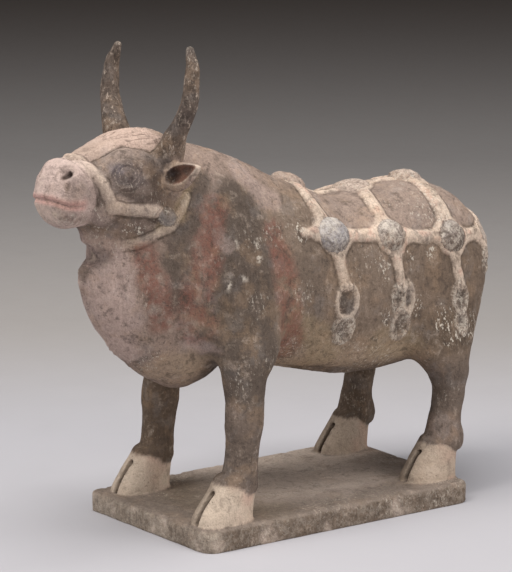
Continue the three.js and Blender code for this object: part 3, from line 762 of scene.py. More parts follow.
def ox_field(block):
    """Distance to the whole figure, without its surface texture"""
    field = np.full(block.shape, FAR, np.float32)

    def by_slope(value):
        return lambda x, y, z: true_distance(value(x, y, z).astype(np.float32), block.step)

    unite(field, block, *ROOMS["trunk"], by_slope(lambda x, y, z: trunk.value(x, y, z) - 1))
    unite(field, block, *ROOMS["head"], by_slope(lambda x, y, z: head.value(x, y, z) - 1))
    for rows, y_low, y_high in LEG_ROOMS:
        value = by_slope(column_value(rows))
        low, high = rows[0][0], rows[-1][0]
        unite(field, block, (-90, y_low, low - 4), (90, y_high, high + 14), LEG_BLEND,
              lambda x, y, z: np.maximum(value(x, y, z), np.maximum(low - z, z - high)))
    unite(field, block, *ROOMS["tail"], tail_distance)
    carve(field, block, *ROOMS["throat fold"],
          lambda x, y, z: ellipsoid_distance(THROAT_FOLD["at"], THROAT_FOLD["size"], x,
                                             y - THROAT_FOLD["sweep"] * np.abs(x), z))
    unite(field, block, *ROOMS["horns"], horns_distance)
    unite(field, block, *ROOMS["ears"],
          by_slope(lambda x, y, z: leaf_value(EAR["at"], EAR["half"], x, y, z)))
    skin = Skin(block, field.copy())
    field -= all_relief(block, skin).height
    carve(field, block, *ROOMS["ear hollows"], by_slope(ear_hollow))
    for at, half in ((NOSTRIL["at"], NOSTRIL["pit"]), (NOSTRIL["dip_at"], NOSTRIL["dip"])):
        carve(field, block, (-32, at[1] - 14, at[2] - 12), (32, at[1] + 14, at[2] + 12), 1.2,
              lambda x, y, z: ellipsoid_distance(at, half, np.abs(x), y, z))
    for at in FETLOCKS:
        unite(field, block, (-80, at[1] - 16, 28), (80, at[1] + 16, 60), 3,
              lambda x, y, z: fetlock_distance(at, x, y, z))
    for centre in HOOVES:
        unite_hoof(field, block, centre, by_slope)
    unite(field, block, *ROOMS["plinth"], plinth_distance)
    return field, skin


def tail_distance(x, y, z):
    radii = through(TAIL_RADII)(np.linspace(0, 1, TUBE_POINTS))
    return tube_distance(smooth_line(TAIL_LINE, TUBE_POINTS), radii, x, y, z)


def ear_hollow(x, y, z):
    axes = ear_axes()
    shift = sum(axis * amount for axis, amount in zip(axes, EAR["hollow_shift"]))
    return leaf_value(np.array(EAR["at"]) + shift, EAR["hollow_half"], x, y, z)


def fetlock_distance(at, x, y, z):
    pad = ellipsoid_distance(at, FETLOCK["half"], np.abs(x), y, z)
    return smooth_max(pad, FETLOCK["under"] - z, 1.5)


def hoof_front(centre_y, rise):
    """Where the front of a hoof is at a height over the plinth"""
    return centre_y + through([(row[0], row[1] - row[3]) for row in HOOF_ROWS])(rise)


def cleft_shares(centre, x, y, z):
    """How much of the slit, of the lips beside it and of the gap between the toes is at a point"""
    rise = z - PLINTH_TOP
    front = hoof_front(centre[1], rise)
    across = np.abs(np.abs(x) - centre[0])
    near = ramp(front + 12, front + 5, y)
    near = near * ramp(CLEFT["pit_rise"] + 1, CLEFT["pit_rise"] - 1, rise)
    slit = near * ramp(CLEFT["half"] + 0.9, CLEFT["half"] - 0.9, across)
    lips = near * bump(across - CLEFT["half"] - 1.9, 1.5)
    toes = bump(across, 4) * ramp(16, 2, rise) * ramp(front + 9, front + 2, y)
    return slit, lips, toes


def unite_hoof(field, block, centre, by_slope):
    """A hoof with a cleft down its front that starts in a pit"""
    cx, cy = centre
    value = by_slope(hoof_value(cx, cy))
    top = PLINTH_TOP + HOOF_ROWS[-1][0]

    def distance(x, y, z):
        body = smooth_max(value(x, y, z), z - top, 3)
        slit, lips, toes = cleft_shares(centre, x, y, z)
        pit_at = (cx, hoof_front(cy, CLEFT["pit_rise"]), PLINTH_TOP + CLEFT["pit_rise"])
        pit = ellipsoid_distance(pit_at, (CLEFT["pit"], 5, CLEFT["pit"]), np.abs(x), y, z)
        return smooth_max(body + CLEFT["depth"] * slit - CLEFT["lip"] * lips + 1.1 * toes, -pit, 0.8)

    unite(field, block, (-80, cy - 34, 6), (80, cy + 34, 60), 1.2, distance)


def skin_mesh(block, field):
    """Faces over the zero surface"""
    grid = openvdb.FloatGrid(FAR)
    grid.copyFromArray(field)
    points, quads = grid.convertToQuads(isovalue=0)
    points = block.low + points * block.step
    mesh = bpy.data.meshes.new("ox_skin")
    mesh.from_pydata(points * MM, [], quads)
    return mesh


def thinned(obj, most):
    """Apply Decimate so that the piece stays under its limit"""
    triangles = sum(len(face.vertices) - 2 for face in obj.data.polygons)
    if triangles > most:
        thin = obj.modifiers.new("thin", "DECIMATE")
        thin.ratio = most / triangles
        bpy.context.view_layer.update()
        ready = obj.evaluated_get(bpy.context.evaluated_depsgraph_get())
        mesh = bpy.data.meshes.new_from_object(ready)
        obj.modifiers.clear()
        obj.data = mesh


def read_vectors(items, name):
    """The named vectors of all items of a mesh, one row each"""
    values = np.empty(len(items) * 3, np.float32)
    items.foreach_get(name, values)
    return values.reshape(-1, 3)


def points_and_normals(mesh):
    return read_vectors(mesh.vertices, "co") / MM, read_vectors(mesh.vertex_normals, "vector")


def weather(mesh, skin):
    """Hand-made unevenness, granules on the bosses, eroded edges and the broken keel of the dewlap"""
    points, normals = points_and_normals(mesh)
    relief = all_relief(Cloud(points), skin)
    x, y, z = points.T
    ox = ramp(PLINTH_TOP + 0.5, PLINTH_TOP + 5, z)
    keel = bump(x, 2.6) * ramp(-128, -150, y) * ramp(222, 214, z) * ramp(112, 125, z)
    shift = noises(points, UNEVEN) * (0.2 + 0.8 * ox) + keel * (noises(points, BROKEN_KEEL) - 0.6)
    grainy = ramp(0.8, -1.5, np.minimum(relief.edge["boss"], relief.edge["lobe"]))
    grainy = np.maximum(grainy, 0.6 * ramp(0.5, -2, relief.edge["strap"]))
    grainy = np.maximum(grainy, 0.25 * ramp(PLINTH_TOP + 0.6, PLINTH_TOP - 1.5, z))
    shift = shift + grainy * noises(points, GRANULES)
    seam = ramp(3, 0, np.abs(z - 107 + 0.16 * (y - 15))) * bump(y - 16, 26) * bump(np.abs(x) - 22, 9)
    edge = ramp(9, 14, z) * ramp(PLINTH_TOP + 1.5, PLINTH_TOP, z)
    worn = np.clip(noises(points, CHIPS) - 0.25, 0, 1)
    shift = shift + seam * (0.6 + 1.6 * noise(points, 3.6, 11)) - edge * worn * 1.2
    flat = z < 0.6
    points = points + normals * np.where(flat, 0, shift)[:, None]
    points[:, 2] = np.where(flat, 0, np.maximum(points[:, 2], 0))
    mesh.vertices.foreach_set("co", (points * MM).ravel())
    mesh.update()


def srgb(red, green, blue):
    """A colour given as 0 to 255 turned to linear light"""
    values = np.array([red, green, blue]) / 255
    return np.where(values <= 0.04045, values / 12.92, ((values + 0.055) / 1.055) ** 2.4)


# Colours of the clay, its paint and the soil on it, with painted shade and painted light
CLAY = srgb(125, 108, 94)
SLATE = srgb(92, 80, 71)
RUMP = srgb(128, 110, 96)
BELLY = srgb(160, 139, 118)
HAUNCH = srgb(114, 97, 83)
# dark soil, also used for painted shade
SOIL_AND_SHADE_DARK = srgb(94, 79, 66)
NECK = srgb(146, 126, 114)
CHEST_PINK = srgb(174, 152, 142)
RED = srgb(124, 84, 72)
CREAM = srgb(208, 187, 168)
PANEL = srgb(148, 129, 117)
MUZZLE = srgb(193, 170, 160)
MUZZLE_GREY = srgb(150, 131, 122)
LIP = srgb(198, 150, 140)
FOREHEAD_PINK = srgb(192, 166, 151)
FACE = srgb(98, 84, 76)
FACE_PALE = srgb(162, 143, 131)
SOCKET = srgb(103, 91, 87)
SLATE_BLUE = srgb(108, 100, 103)
TEMPLE = srgb(92, 77, 67)
OCHRE = srgb(152, 133, 106)
LEG = srgb(108, 94, 84)
# painted shade for the inner sides of the legs and the far legs
LEG_SHADE = srgb(91, 75, 61)
HOOF = srgb(198, 179, 160)
HIND_HOOF = srgb(180, 161, 143)
HOOF_PINK = srgb(186, 154, 136)
HORN = srgb(99, 86, 77)
HORN_DARK = srgb(76, 66, 62)
HORN_BASE = srgb(112, 95, 82)
EAR_INSIDE = srgb(112, 81, 67)
EAR_RIM = srgb(158, 136, 118)
# dark for the pupils, and for painted shade in pits
PIT_SHADE_AND_PUPIL = srgb(50, 36, 31)
PLINTH = srgb(130, 116, 105)
PLINTH_SIDE = srgb(120, 105, 92)
PLINTH_FRONT = srgb(158, 143, 128)
# dust on the plinth's sides, and painted light on its top
PLINTH_DUST_AND_LIGHT = srgb(192, 174, 160)
# painted highlight for the upper sides of the flank bosses
BOSS_HIGHLIGHT = srgb(206, 196, 186)
# By tone: the three rosettes, the tail boss, the three bosses on the spine and the bridle disc
BOSS_TONES = [srgb(160, 154, 153), srgb(146, 131, 120), srgb(126, 112, 103), srgb(190, 172, 158),
              srgb(166, 144, 130), srgb(180, 160, 146), srgb(176, 156, 142), srgb(122, 113, 107)]
BOSS_CRUSTS = [0.6, 0.8, 0.8, 0.4, 0.3, 0.5, 0.6, 0]

# Soft stripes of colour on the flanks: (colour, (y, z) points, half width, strength)
BODY_STRIPES = [
    (SLATE, [(-78, 240), (-84, 218), (-88, 196), (-90, 170), (-88, 140)], 19, 0.95),
    (SLATE, [(-66, 200), (-66, 160), (-70, 130), (-74, 100)], 15, 0.9),
    (SLATE, [(-92, 212), (-94, 180), (-95, 152)], 10, 0.8),
    (SLATE, [(-56, 250), (-62, 225)], 9, 0.5),
    (SLATE, [(-10, 200), (-20, 188), (-16, 170)], 15, 0.4),
    (SLATE, [(-72, 138), (-76, 112)], 20, 0.9),
    (SLATE, [(-105, 258), (-112, 244), (-120, 228), (-126, 206), (-124, 178)], 9, 0.9),
    (SOIL_AND_SHADE_DARK, [(-98, 170), (-92, 158), (-80, 152)], 8, 0.7),
    (BELLY, [(-112, 124), (-101, 126)], 7, 0.7),
    (CHEST_PINK, [(-98, 228), (-94, 217), (-90, 212)], 5, 0.45),
    (CHEST_PINK, [(-64, 262), (-52, 245), (-40, 240)], 8, 0.5),
    (CHEST_PINK, [(-112, 146), (-104, 138)], 5, 0.6),
    (SOIL_AND_SHADE_DARK, [(-30, 116), (-4, 109), (16, 106), (34, 102)], 3.2, 0.8),
    (SOIL_AND_SHADE_DARK, [(92, 118), (110, 128), (126, 142)], 12, 0.6),
    (SOIL_AND_SHADE_DARK, [(80, 134), (98, 132), (122, 130)], 13, 0.7),
    (OCHRE, [(-30, 150), (-8, 138), (4, 124)], 11, 0.5),
    (OCHRE, [(50, 128), (72, 122)], 12, 0.4),
    (OCHRE, [(-114, 254), (-118, 246), (-124, 236)], 5, 0.8),
]
# Red paint: (y, z) points, half width
RED_STRIPES = [
    ([(-147, 212), (-141, 190), (-134, 162)], 8),
    ([(-97, 238), (-105, 214), (-112, 194), (-114, 172), (-112, 156)], 11),
    ([(-50, 220), (-45, 196), (-40, 168), (-31, 130)], 9),
]
HEAD_STRIPES = [
    (FACE_PALE, BROW, 4.0, 0.6),
    (FACE_PALE, [(-181, 268), (-175, 258), (-171, 247), (-172, 236)], 5.0, 0.6),
    (FACE_PALE, [(-170, 243), (-158, 241), (-146, 239.5), (-138, 238)], 4.2, 0.8),
    (OCHRE, [(-116, 258), (-119, 246), (-124, 234), (-132, 224)], 6, 0.4),
    (TEMPLE, [(-136, 274), (-138, 262), (-140, 250)], 6, 0.7),
]
# Soft ovals: (colour, (x, y, z), half sizes, strength)
HEAD_SPOTS = [
    (SOCKET, (30, -158, 264), (16, 15, 10), 0.9),
    # painted light on the jaw, against the cheek's shade
    (NECK, (24, -153, 227), (18, 15, 7), 0.4),
    (FACE_PALE, (15, -172, 238), (9, 6, 5), 0.5),
    # painted light on the chin, against its shade
    (CREAM, (8, -206, 240), (16, 9, 9), 0.35),
    (SLATE_BLUE, (29, -167, 270), (10, 6, 4.5), 0.5),
    (FACE_PALE, (32, -148, 255), (12, 6, 4.5), 0.35),
    (MUZZLE_GREY, (23, -192, 256), (7, 12, 13), 0.85),
    (MUZZLE_GREY, (17, -200, 271), (8, 8, 4), 0.8),
    (MUZZLE_GREY, (22, -188, 233), (10, 18, 9), 0.8),
    # painted shade under and behind the ear
    (SOIL_AND_SHADE_DARK, (38, -112, 250), (14, 9, 12), 0.7),
    # painted shade in the nostril's pit
    (PIT_SHADE_AND_PUPIL, (17, -201, 266.5), (3.2, 8, 3.0), 1.0),
    # painted shade in the cuts beside the nostril
    (SOIL_AND_SHADE_DARK, (19.8, -200.7, 259), (1.5, 4, 3.6), 0.5),
    (SOIL_AND_SHADE_DARK, (10, -204, 266), (1.4, 4, 3), 0.35),
    (CREAM, (10.5, -204.9, 240.5), (2.4, 4, 1.6), 0.8),
    (SOIL_AND_SHADE_DARK, (14, -202, 237.5), (4, 4, 1.6), 0.5),
    (PIT_SHADE_AND_PUPIL, (30, -159.5, 264.2), (7, 2.6, 1.8), 0.6),
]
# Flecked and crusted places on the head: (x, y, z), half sizes
JAW_FLECKS = ((24, -152, 228), (12, 9, 5))
CHIN_CRUST = ((16, -197, 236), (20, 14, 7))
# White dabs of worn lime paint on the left flank: (y, z), half sizes
DABS = [((-65.5, 207), (1.4, 9)), ((-91, 187), (1.4, 5)), ((-80, 188), (1.4, 4.5)),
        ((-84, 214), (1.4, 4))]
# Crusted places on both flanks: (y, z), half sizes
CRUSTS = [((44, 183), (7, 14)), ((91, 193), (6, 8)), ((70, 188), (4, 10)), ((79, 153), (6, 9)),
          ((100, 140), (9, 14)), ((112, 128), (14, 9)), ((131, 130), (8, 16)), ((150, 146), (8, 14)),
          ((-26, 216), (6, 8)), ((48, 148), (5, 8))]


class Paint:
    """Colours laid over each other by soft masks"""

    def __init__(self, count, base):
        self.colour = np.tile(base, (count, 1))

    def lay(self, colour, mask):
        share = np.clip(mask, 0, 1)[:, None]
        self.colour = self.colour * (1 - share) + colour * share


def spot(points, centre, half):
    """A soft oval mask about a place, the same on both flanks"""
    folded = np.column_stack([np.abs(points[:, 0]), points[:, 1:]])
    away = (folded - centre) / half
    return ramp(1.25, 0.6, np.linalg.norm(away, axis=1))


def stripe(points, line, half):
    """A soft stripe along a line of (y, z) on both flanks"""
    best = np.full(len(points), FAR * 4)
    line = np.array(line, float)
    place = points[:, 1:3]
    for a, b in zip(line[:-1], line[1:]):
        along = b - a
        t = np.clip((place - a) @ along / (along @ along), 0, 1)
        best = np.minimum(best, np.linalg.norm(place - a - t[:, None] * along, axis=1))
    return ramp(half * 1.4, half * 0.6, best) * ramp(12, 22, np.abs(points[:, 0]))


def part_masks(points):
    """Which form each vertex belongs to"""
    x, y, z = points.T
    masks = {}
    hoof = np.zeros(len(points))
    for centre, fetlock in zip(HOOVES, FETLOCKS):
        near = hoof_value(*centre)(x, y, np.minimum(z, PLINTH_TOP + 30)) < 0.12
        top = 44 - 8 * ramp(fetlock[1] - 18, fetlock[1] - 2, y)
        between = ramp(top + 1.2, top - 1.2, z) * ramp(16.2, 17.4, z)
        hoof = np.maximum(hoof, near * between)
    masks["hoof"] = hoof
    masks["plinth"] = ramp(17.8, 16.9, z) * (1 - hoof)
    masks["horn"] = ramp(2.4, 0.4, horns_distance(x, y, z)) * ramp(273, 281, z)
    masks["ear"] = (leaf_value(EAR["at"], np.array(EAR["half"]) + 1, x, y, z) < 0.12) * 1.0
    masks["head"] = ramp(1.34, 1.24, head.value(x, y, z)) * ramp(-118, -132, y)
    masks["head"] = masks["head"] * ramp(212, 222, z + 0.25 * (y + 150))
    masks["leg"] = ramp(118, 96, z) * (1 - masks["plinth"]) * (1 - hoof)
    return masks


def paint_body(paint, place):
    """Clay and the soft zones of colour on the trunk; place is the point list stirred a little"""
    y, z = place[:, 1], place[:, 2]
    paint.lay(RUMP, ramp(196, 232, z) * ramp(-30, 10, y))
    paint.lay(HAUNCH, spot(place, (55, 120, 160), (40, 50, 55)) * 0.9)
    paint.lay(BELLY, ramp(150, 112, z) * ramp(-60, -30, y) * ramp(100, 70, y))
    paint.lay(NECK, ramp(-60, -110, y) * 0.8)
    paint.lay(NECK, ramp(236, 262, z) * 0.8)
    paint.lay(CHEST_PINK, ramp(-145, -156, y + 0.12 * (z - 190)) * 0.9)
    paint.lay(BELLY, spot(place, (28, -118, 122), (30, 26, 16)) * 0.7)
    paint.lay(SOIL_AND_SHADE_DARK, spot(place, (0, -178, 194), (5, 5, 7)) * 0.6)
    paint.lay(CREAM, spot(place, (0, -170, 207), (5, 4, 4)) * 0.6)
    for colour, line, half, strength in BODY_STRIPES:
        paint.lay(colour, stripe(place, line, half) * strength)


def paint_head(paint, points, place, masks, relief):
    x, y, z = points.T
    head_here = masks["head"]
    paint.lay(FACE, head_here)
    muzzle = head_here * ramp(-179, -184, y - 0.08 * (z - 250))
    paint.lay(MUZZLE, muzzle)
    for colour, line, half, strength in HEAD_STRIPES:
        paint.lay(colour, stripe(place, line, half) * strength * head_here)
    for colour, centre, half, strength in HEAD_SPOTS:
        paint.lay(colour, spot(place if half[1] > 8 else points, centre, half) * strength * head_here)
    above = z - mouth_height(x)
    lips = bump(above - 2.2, 2.0) + bump(above + 1.6, 1.6)
    paint.lay(LIP, muzzle * lips * 0.7 * ramp(-186, -192, y))
    plate = ramp(0.6, -0.8, relief.edge["plate"]) * head_here
    paint.lay(FOREHEAD_PINK, plate)
    paint.lay(FACE_PALE, plate * bump(y + 175, 18) * 0.6)
    return np.clip(muzzle * 0.7 + plate, 0, 1)


def paint_limbs(paint, points, place, masks):
    """Legs with painted shade on their inner sides and on the far legs, horns, and ears with painted
    shade deep in their hollows
    """
    x, y, z = points.T
    leg, horn, ear = masks["leg"], masks["horn"], masks["ear"]
    paint.lay(LEG, leg * np.where(y < 0, ramp(108, 84, z), 1))
    paint.lay(NECK, leg * spot(place, (60, 104, 56), (16, 16, 14)) * 0.45)
    # painted shade: the inner sides of the legs and the far legs are darker
    inner_shade = leg * ramp(52, 42, np.abs(x)) * 0.6
    paint.lay(LEG_SHADE, np.maximum(inner_shade, leg * ramp(-20, -45, x) * 0.8))
    paint.lay(HORN, horn)
    paint.lay(HORN_BASE, horn * ramp(302, 284, z))
    paint.lay(HORN_DARK, horn * bump(z - 304 - 4 * noise(points, 9, 41), 9) * 0.7 * (x > 0))
    paint.lay(NECK, ear)
    paint.lay(EAR_RIM, ear * ramp(-126, -129, y))
    paint.lay(CREAM, ear * ramp(55, 60, np.abs(x)) * 0.7)
    inside = ramp(0.14, 0.02, ear_hollow(x, y, z)) * ear
    paint.lay(EAR_INSIDE, inside)
    # painted shade deep in the ear's hollow
    paint.lay(PIT_SHADE_AND_PUPIL, inside * ramp(48, 41, np.abs(x)))


def paint_hooves(paint, points, hoof):
    x, y, z = points.T
    paint.lay(HOOF, hoof)
    paint.lay(HIND_HOOF, hoof * (y > 0))
    pink = np.clip(0.5 + 1.4 * noise(points, 12, 42), 0, 1) * ramp(-8, 8, y - np.sign(y) * 98)
    paint.lay(HOOF_PINK, hoof * pink * 0.8)
    # the front of each hoof's right-hand toe, next to the cleft, is darker; less so on the right front
    # hoof
    toe_darkening = np.where((x < 0) & (y < 0), 0.15, 0.45)
    for centre in HOOVES:
        far_toe = ramp(0.5, -1.5, x - np.sign(x) * centre[0])
        front = ramp(15, 9, y - hoof_front(centre[1], z - PLINTH_TOP))
        paint.lay(SOIL_AND_SHADE_DARK, hoof * far_toe * front * (np.abs(y - centre[1]) < 30) * toe_darkening)


def paint_slab(paint, points, place, slab):
    """The plinth with dusty and soiled patches on its sides and painted light on its top under and
    behind the figure; returns the mask of its sides
    """
    x, y, z = points.T
    paint.lay(PLINTH, slab)
    side = slab * ramp(15.6, 13.6, z)
    paint.lay(PLINTH_SIDE, side)
    paint.lay(PLINTH_FRONT, side * ramp(-108, -116, y))
    patches = noises(points, SLAB_PATCHES)
    paint.lay(PLINTH_DUST_AND_LIGHT, side * np.clip(1.6 * patches - 0.3, 0, 0.6))
    paint.lay(SOIL_AND_SHADE_DARK, side * np.clip(-1.6 * patches - 0.3, 0, 0.45))
    paint.lay(OCHRE, slab * spot(place, (10, -60, 16), (60, 40, 6)) * 0.25)
    # painted light: the top is paler under the figure, where its shade falls
    paint.lay(PLINTH_DUST_AND_LIGHT, slab * spot(place, (0, 20, 16), (50, 90, 9)))
    # painted light: the top is paler along its far edge, against the shade of the figure and its legs
    paint.lay(PLINTH_DUST_AND_LIGHT, (slab - side) * ramp(-15, -40, x) * ramp(-70, -10, y))
    return side


def cleft_edges(points):
    """Distance from the walls of the slits in the hooves, below zero inside them"""
    x, y, z = points.T
    rise = z - PLINTH_TOP
    edge = np.full(len(points), FAR)
    for centre in HOOVES:
        near = (rise > 0.8) & (rise < CLEFT["pit_rise"] + 2)
        near &= np.abs(y - hoof_front(centre[1], rise)) < 9
        edge = np.where(near, np.abs(np.abs(x) - centre[0]) - CLEFT["half"], edge)
    return edge


def flank_ovals(points, rows, full, ragged):
    """Ovals with ragged edges at places (y, z) on the flanks, solid up to a share of their size"""
    mask = np.zeros(len(points))
    for (y, z), (half_y, half_z) in rows:
        away = np.hypot((points[:, 1] - y) / half_y, (points[:, 2] - z) / half_z)
        mask = np.maximum(mask, ramp(1.3, full, away + ragged))
    return mask


def paint_bosses(paint, normals, relief):
    """Each boss in its tone; on the flanks a painted highlight on its upper side and painted shade on
    its lower side
    """
    dome = ramp(0.8, -0.6, relief.edge["boss"])
    tone = relief.tone["boss"].astype(int)
    paint.lay(np.array(BOSS_TONES)[tone], dome)
    on_flank = dome * (tone < 3)
    facing_up = normals @ (0.1, -0.5, 0.86)
    # painted highlight on the upper side of each flank boss
    paint.lay(BOSS_HIGHLIGHT, on_flank * ramp(0.3, 0.9, facing_up) * 0.5)
    # painted shade on the lower side of each flank boss
    paint.lay(SOIL_AND_SHADE_DARK, on_flank * ramp(0.25, -0.4, facing_up) * 0.7)
    return dome, tone


def paint_layers(points, normals, relief):
    """Colour and masks at each vertex"""
    place = points + 4 * np.stack([noise(points, 13, 10 + i) for i in range(3)], axis=1)
    masks = part_masks(points)
    paint = Paint(len(points), CLAY)
    paint_body(paint, place)
    upper = ramp(206, 212, points[:, 2]) * ramp(-4, 2, points[:, 1])
    paint.lay(PANEL, upper * 0.9)
    pale = paint_head(paint, points, place, masks, relief)
    paint_limbs(paint, points, place, masks)
    paint_hooves(paint, points, masks["hoof"])
    slab_side = paint_slab(paint, points, place, masks["plinth"])
    dome, tone = paint_bosses(paint, normals, relief)
    crusted_dome = dome * np.array(BOSS_CRUSTS)[tone]
    other = np.clip(sum(masks[name] for name in ("head", "plinth", "hoof", "horn", "ear")), 0, 1)
    red = np.maximum.reduce([stripe(place, line, half) for line, half in RED_STRIPES])
    ragged = 0.8 * noise(points, 4, 43)
    dabs = flank_ovals(points, DABS, 0.6, 0.7 * ragged) * ramp(12, 22, points[:, 0])
    crust = flank_ovals(points, CRUSTS, 0.5, 0.5 * ragged) * ramp(30, 44, np.abs(points[:, 0]))
    lobes = ramp(2.0, 0.0, relief.edge["lobe"]) * (1.25 - 1.1 * relief.tone["lobe"])
    jaw = spot(points, *JAW_FLECKS) * masks["head"]
    chin = spot(points, *CHIN_CRUST) * masks["head"]
    cluster = np.clip(0.1 + 1.3 * noise(points, 22, 20), 0, 1) * 0.6
    cluster = cluster * (1 - pale) * (1 - masks["hoof"]) * (1 - 0.4 * masks["leg"])
    neck_end = 2 * ramp(-12, -20, points[:, 1])
    return {
        "paint": paint.colour,
        "red": red * (1 - other),
        "fleck": np.maximum.reduce([cluster, crust, jaw, 0.35 * lobes, 0.6 * chin, 0.25 * slab_side]),
        "dab": dabs,
        "crust": np.maximum.reduce([lobes, crusted_dome, 0.35 * chin, 0.3 * slab_side]),
        "pale": np.clip(pale + masks["hoof"] + dome * (tone < 1), 0, 1),
        "horn": masks["horn"],
        "hoof": masks["hoof"],
        "slab": masks["plinth"],
        "strap": np.where(dome > 0.5, FAR, relief.edge["strap"] + neck_end),
        "bridle": np.where(dome > 0.5, FAR, relief.edge["bridle"]),
        "faded": throat_wear(points),
        "lobe_dark": relief.tone["lobe"],
        "cleft": cleft_edges(points),
        **{name: relief.edge[name] for name in ("lobe", "eye", "plate", "groove")},
    }


def cavity_of(mesh, normals, points):
    """How hollow (positive) or ridged (negative) the skin is at each vertex"""
    edges = np.empty(len(mesh.edges) * 2, np.int32)
    mesh.edges.foreach_get("vertices", edges)
    a, b = edges.reshape(-1, 2).T
    along = points[b] - points[a]
    length = np.maximum(np.linalg.norm(along, axis=1), 0.2)
    bend_a = np.einsum("ij,ij->i", along, normals[a]) / length
    bend_b = np.einsum("ij,ij->i", -along, normals[b]) / length
    total = np.bincount(a, bend_a, len(points)) + np.bincount(b, bend_b, len(points))
    count = np.maximum(np.bincount(a, minlength=len(points)) + np.bincount(b, minlength=len(points)), 1)
    value = total / count
    for _ in range(3):
        spread = np.bincount(a, value[b], len(points)) + np.bincount(b, value[a], len(points))
        value = 0.5 * value + 0.5 * spread / count
    return value


def store(mesh, name, values):
    if values.ndim == 2:
        layer = mesh.attributes.new(name, "FLOAT_COLOR", "POINT")
        data = np.concatenate([values, np.ones((len(values), 1))], axis=1)
        layer.data.foreach_set("color", data.astype(np.float32).ravel())
    else:
        layer = mesh.attributes.new(name, "FLOAT", "POINT")
        layer.data.foreach_set("value", values.astype(np.float32))


class Shader:
    """Short names for the nodes of one material

    A value is a number, a colour, the output of a node or the name of a layer of the mesh.
    """

    def __init__(self, name):
        self.material = bpy.data.materials.new(name)
        self.material.use_nodes = True
        self.tree = self.material.node_tree
        self.place = self.add("TexCoord", {}).outputs["Object"]

    def put(self, socket, value):
        if isinstance(value, str):
            value = self.add("Attribute", {}, attribute_name=value).outputs["Fac"]
        if isinstance(value, np.ndarray):
            value = (*value, 1.0)
        if isinstance(value, bpy.types.NodeSocket):
            self.tree.links.new(value, socket)
        else:
            socket.default_value = value

    def add(self, kind, inputs, **settings):
        """A node with its settings and the values of its inputs"""
        node = self.tree.nodes.new("ShaderNode" + kind)
        for name, setting in settings.items():
            setattr(node, name, setting)
        for socket, value in inputs.items():
            self.put(node.inputs[socket], value)
        return node

    def math(self, kind, *values):
        return self.add("Math", dict(enumerate(values)), operation=kind).outputs[0]

    def noise(self, size, detail=3.0, rough=0.55, stretch=None, warp=0.0):
        """Noise from 0 to 1 with lumps of about the given size in millimetres"""
        vector = self.place
        if stretch:
            vector = self.add("Mapping", {"Scale": stretch, "Vector": vector}).outputs["Vector"]
        return self.add("TexNoise", {"Vector": vector, "Scale": 1 / (size * MM), "Detail": detail,
                                     "Roughness": rough, "Distortion": warp}).outputs[0]

    def cells(self, size):
        """Distance from the middles of scattered cells, in parts of their size"""
        inputs = {"Vector": self.place, "Scale": 1 / (size * MM)}
        return self.add("TexVoronoi", inputs).outputs["Distance"]

    def step(self, value, low, high):
        """0 below low, 1 above high, soft between; also falling when high is below low"""
        ends = (0.0, 1.0) if low < high else (1.0, 0.0)
        inputs = {"Value": value, "From Min": min(low, high), "From Max": max(low, high),
                  "To Min": ends[0], "To Max": ends[1]}
        return self.add("MapRange", inputs, interpolation_type="SMOOTHSTEP").outputs[0]

    def mix(self, share, a, b):
        return self.add("Mix", {0: share, 6: a, 7: b}, data_type="RGBA", clamp_factor=True).outputs[2]

    def times(self, *shares):
        product = shares[0]
        for share in shares[1:]:
            product = self.math("MULTIPLY", product, share)
        return product

    def cover(self, colour, tint, *shares):
        """The colour under a tint laid by the product of the shares"""
        return self.mix(self.times(*shares), colour, tint)

    def plus(self, base, value, share):
        """The base and a share of a value"""
        return self.math("MULTIPLY_ADD", value, share, base)

    def stir(self, base, noise, share):
        """The base moved up and down by a noise"""
        return self.plus(base, self.math("SUBTRACT", noise, 0.5), share)

    def scribble(self, size, width, stretch=None):
        """Thin wandering lines where a noise crosses its middle"""
        middle = self.math("SUBTRACT", self.noise(size, 4, 0.6, stretch, 0.8), 0.5)
        return self.step(self.math("ABSOLUTE", middle), width, width * 0.25)

    def made(self, **inputs):
        """The material with its surface's inputs set, named as they are but with _ for spaces"""
        surface = self.tree.nodes["Principled BSDF"]
        for name, value in inputs.items():
            self.put(surface.inputs[name.replace("_", " ")], value)
        return self.material


# soil, also used for painted shade in hollows, along edges and in the hooves' slits
DIRT_AND_SHADE = srgb(66, 54, 45)
DARK_WEAR = srgb(84, 72, 64)
DARK_SPECK = srgb(62, 53, 47)
DUST = srgb(178, 161, 146)
FLECK = srgb(218, 206, 190)
PINK_TINT = srgb(199, 168, 150)
WARM = srgb(160, 132, 106)
COOL = srgb(126, 122, 120)
LOBE_GREY = srgb(144, 131, 120)
PIT_SIZE = 3.4
BUMP_HEIGHT = 1.6
# Soil and painted shade along edges: (layer, where its middle lies, half width, strength)
EDGE_DIRT_AND_SHADE = [("strap", 1.3, 1.3, 0.6), ("bridle", 1.0, 1.1, 0.7), ("plate", 0.9, 1.2, 0.9),
              ("groove", 0.0, 1.4, 0.6)]


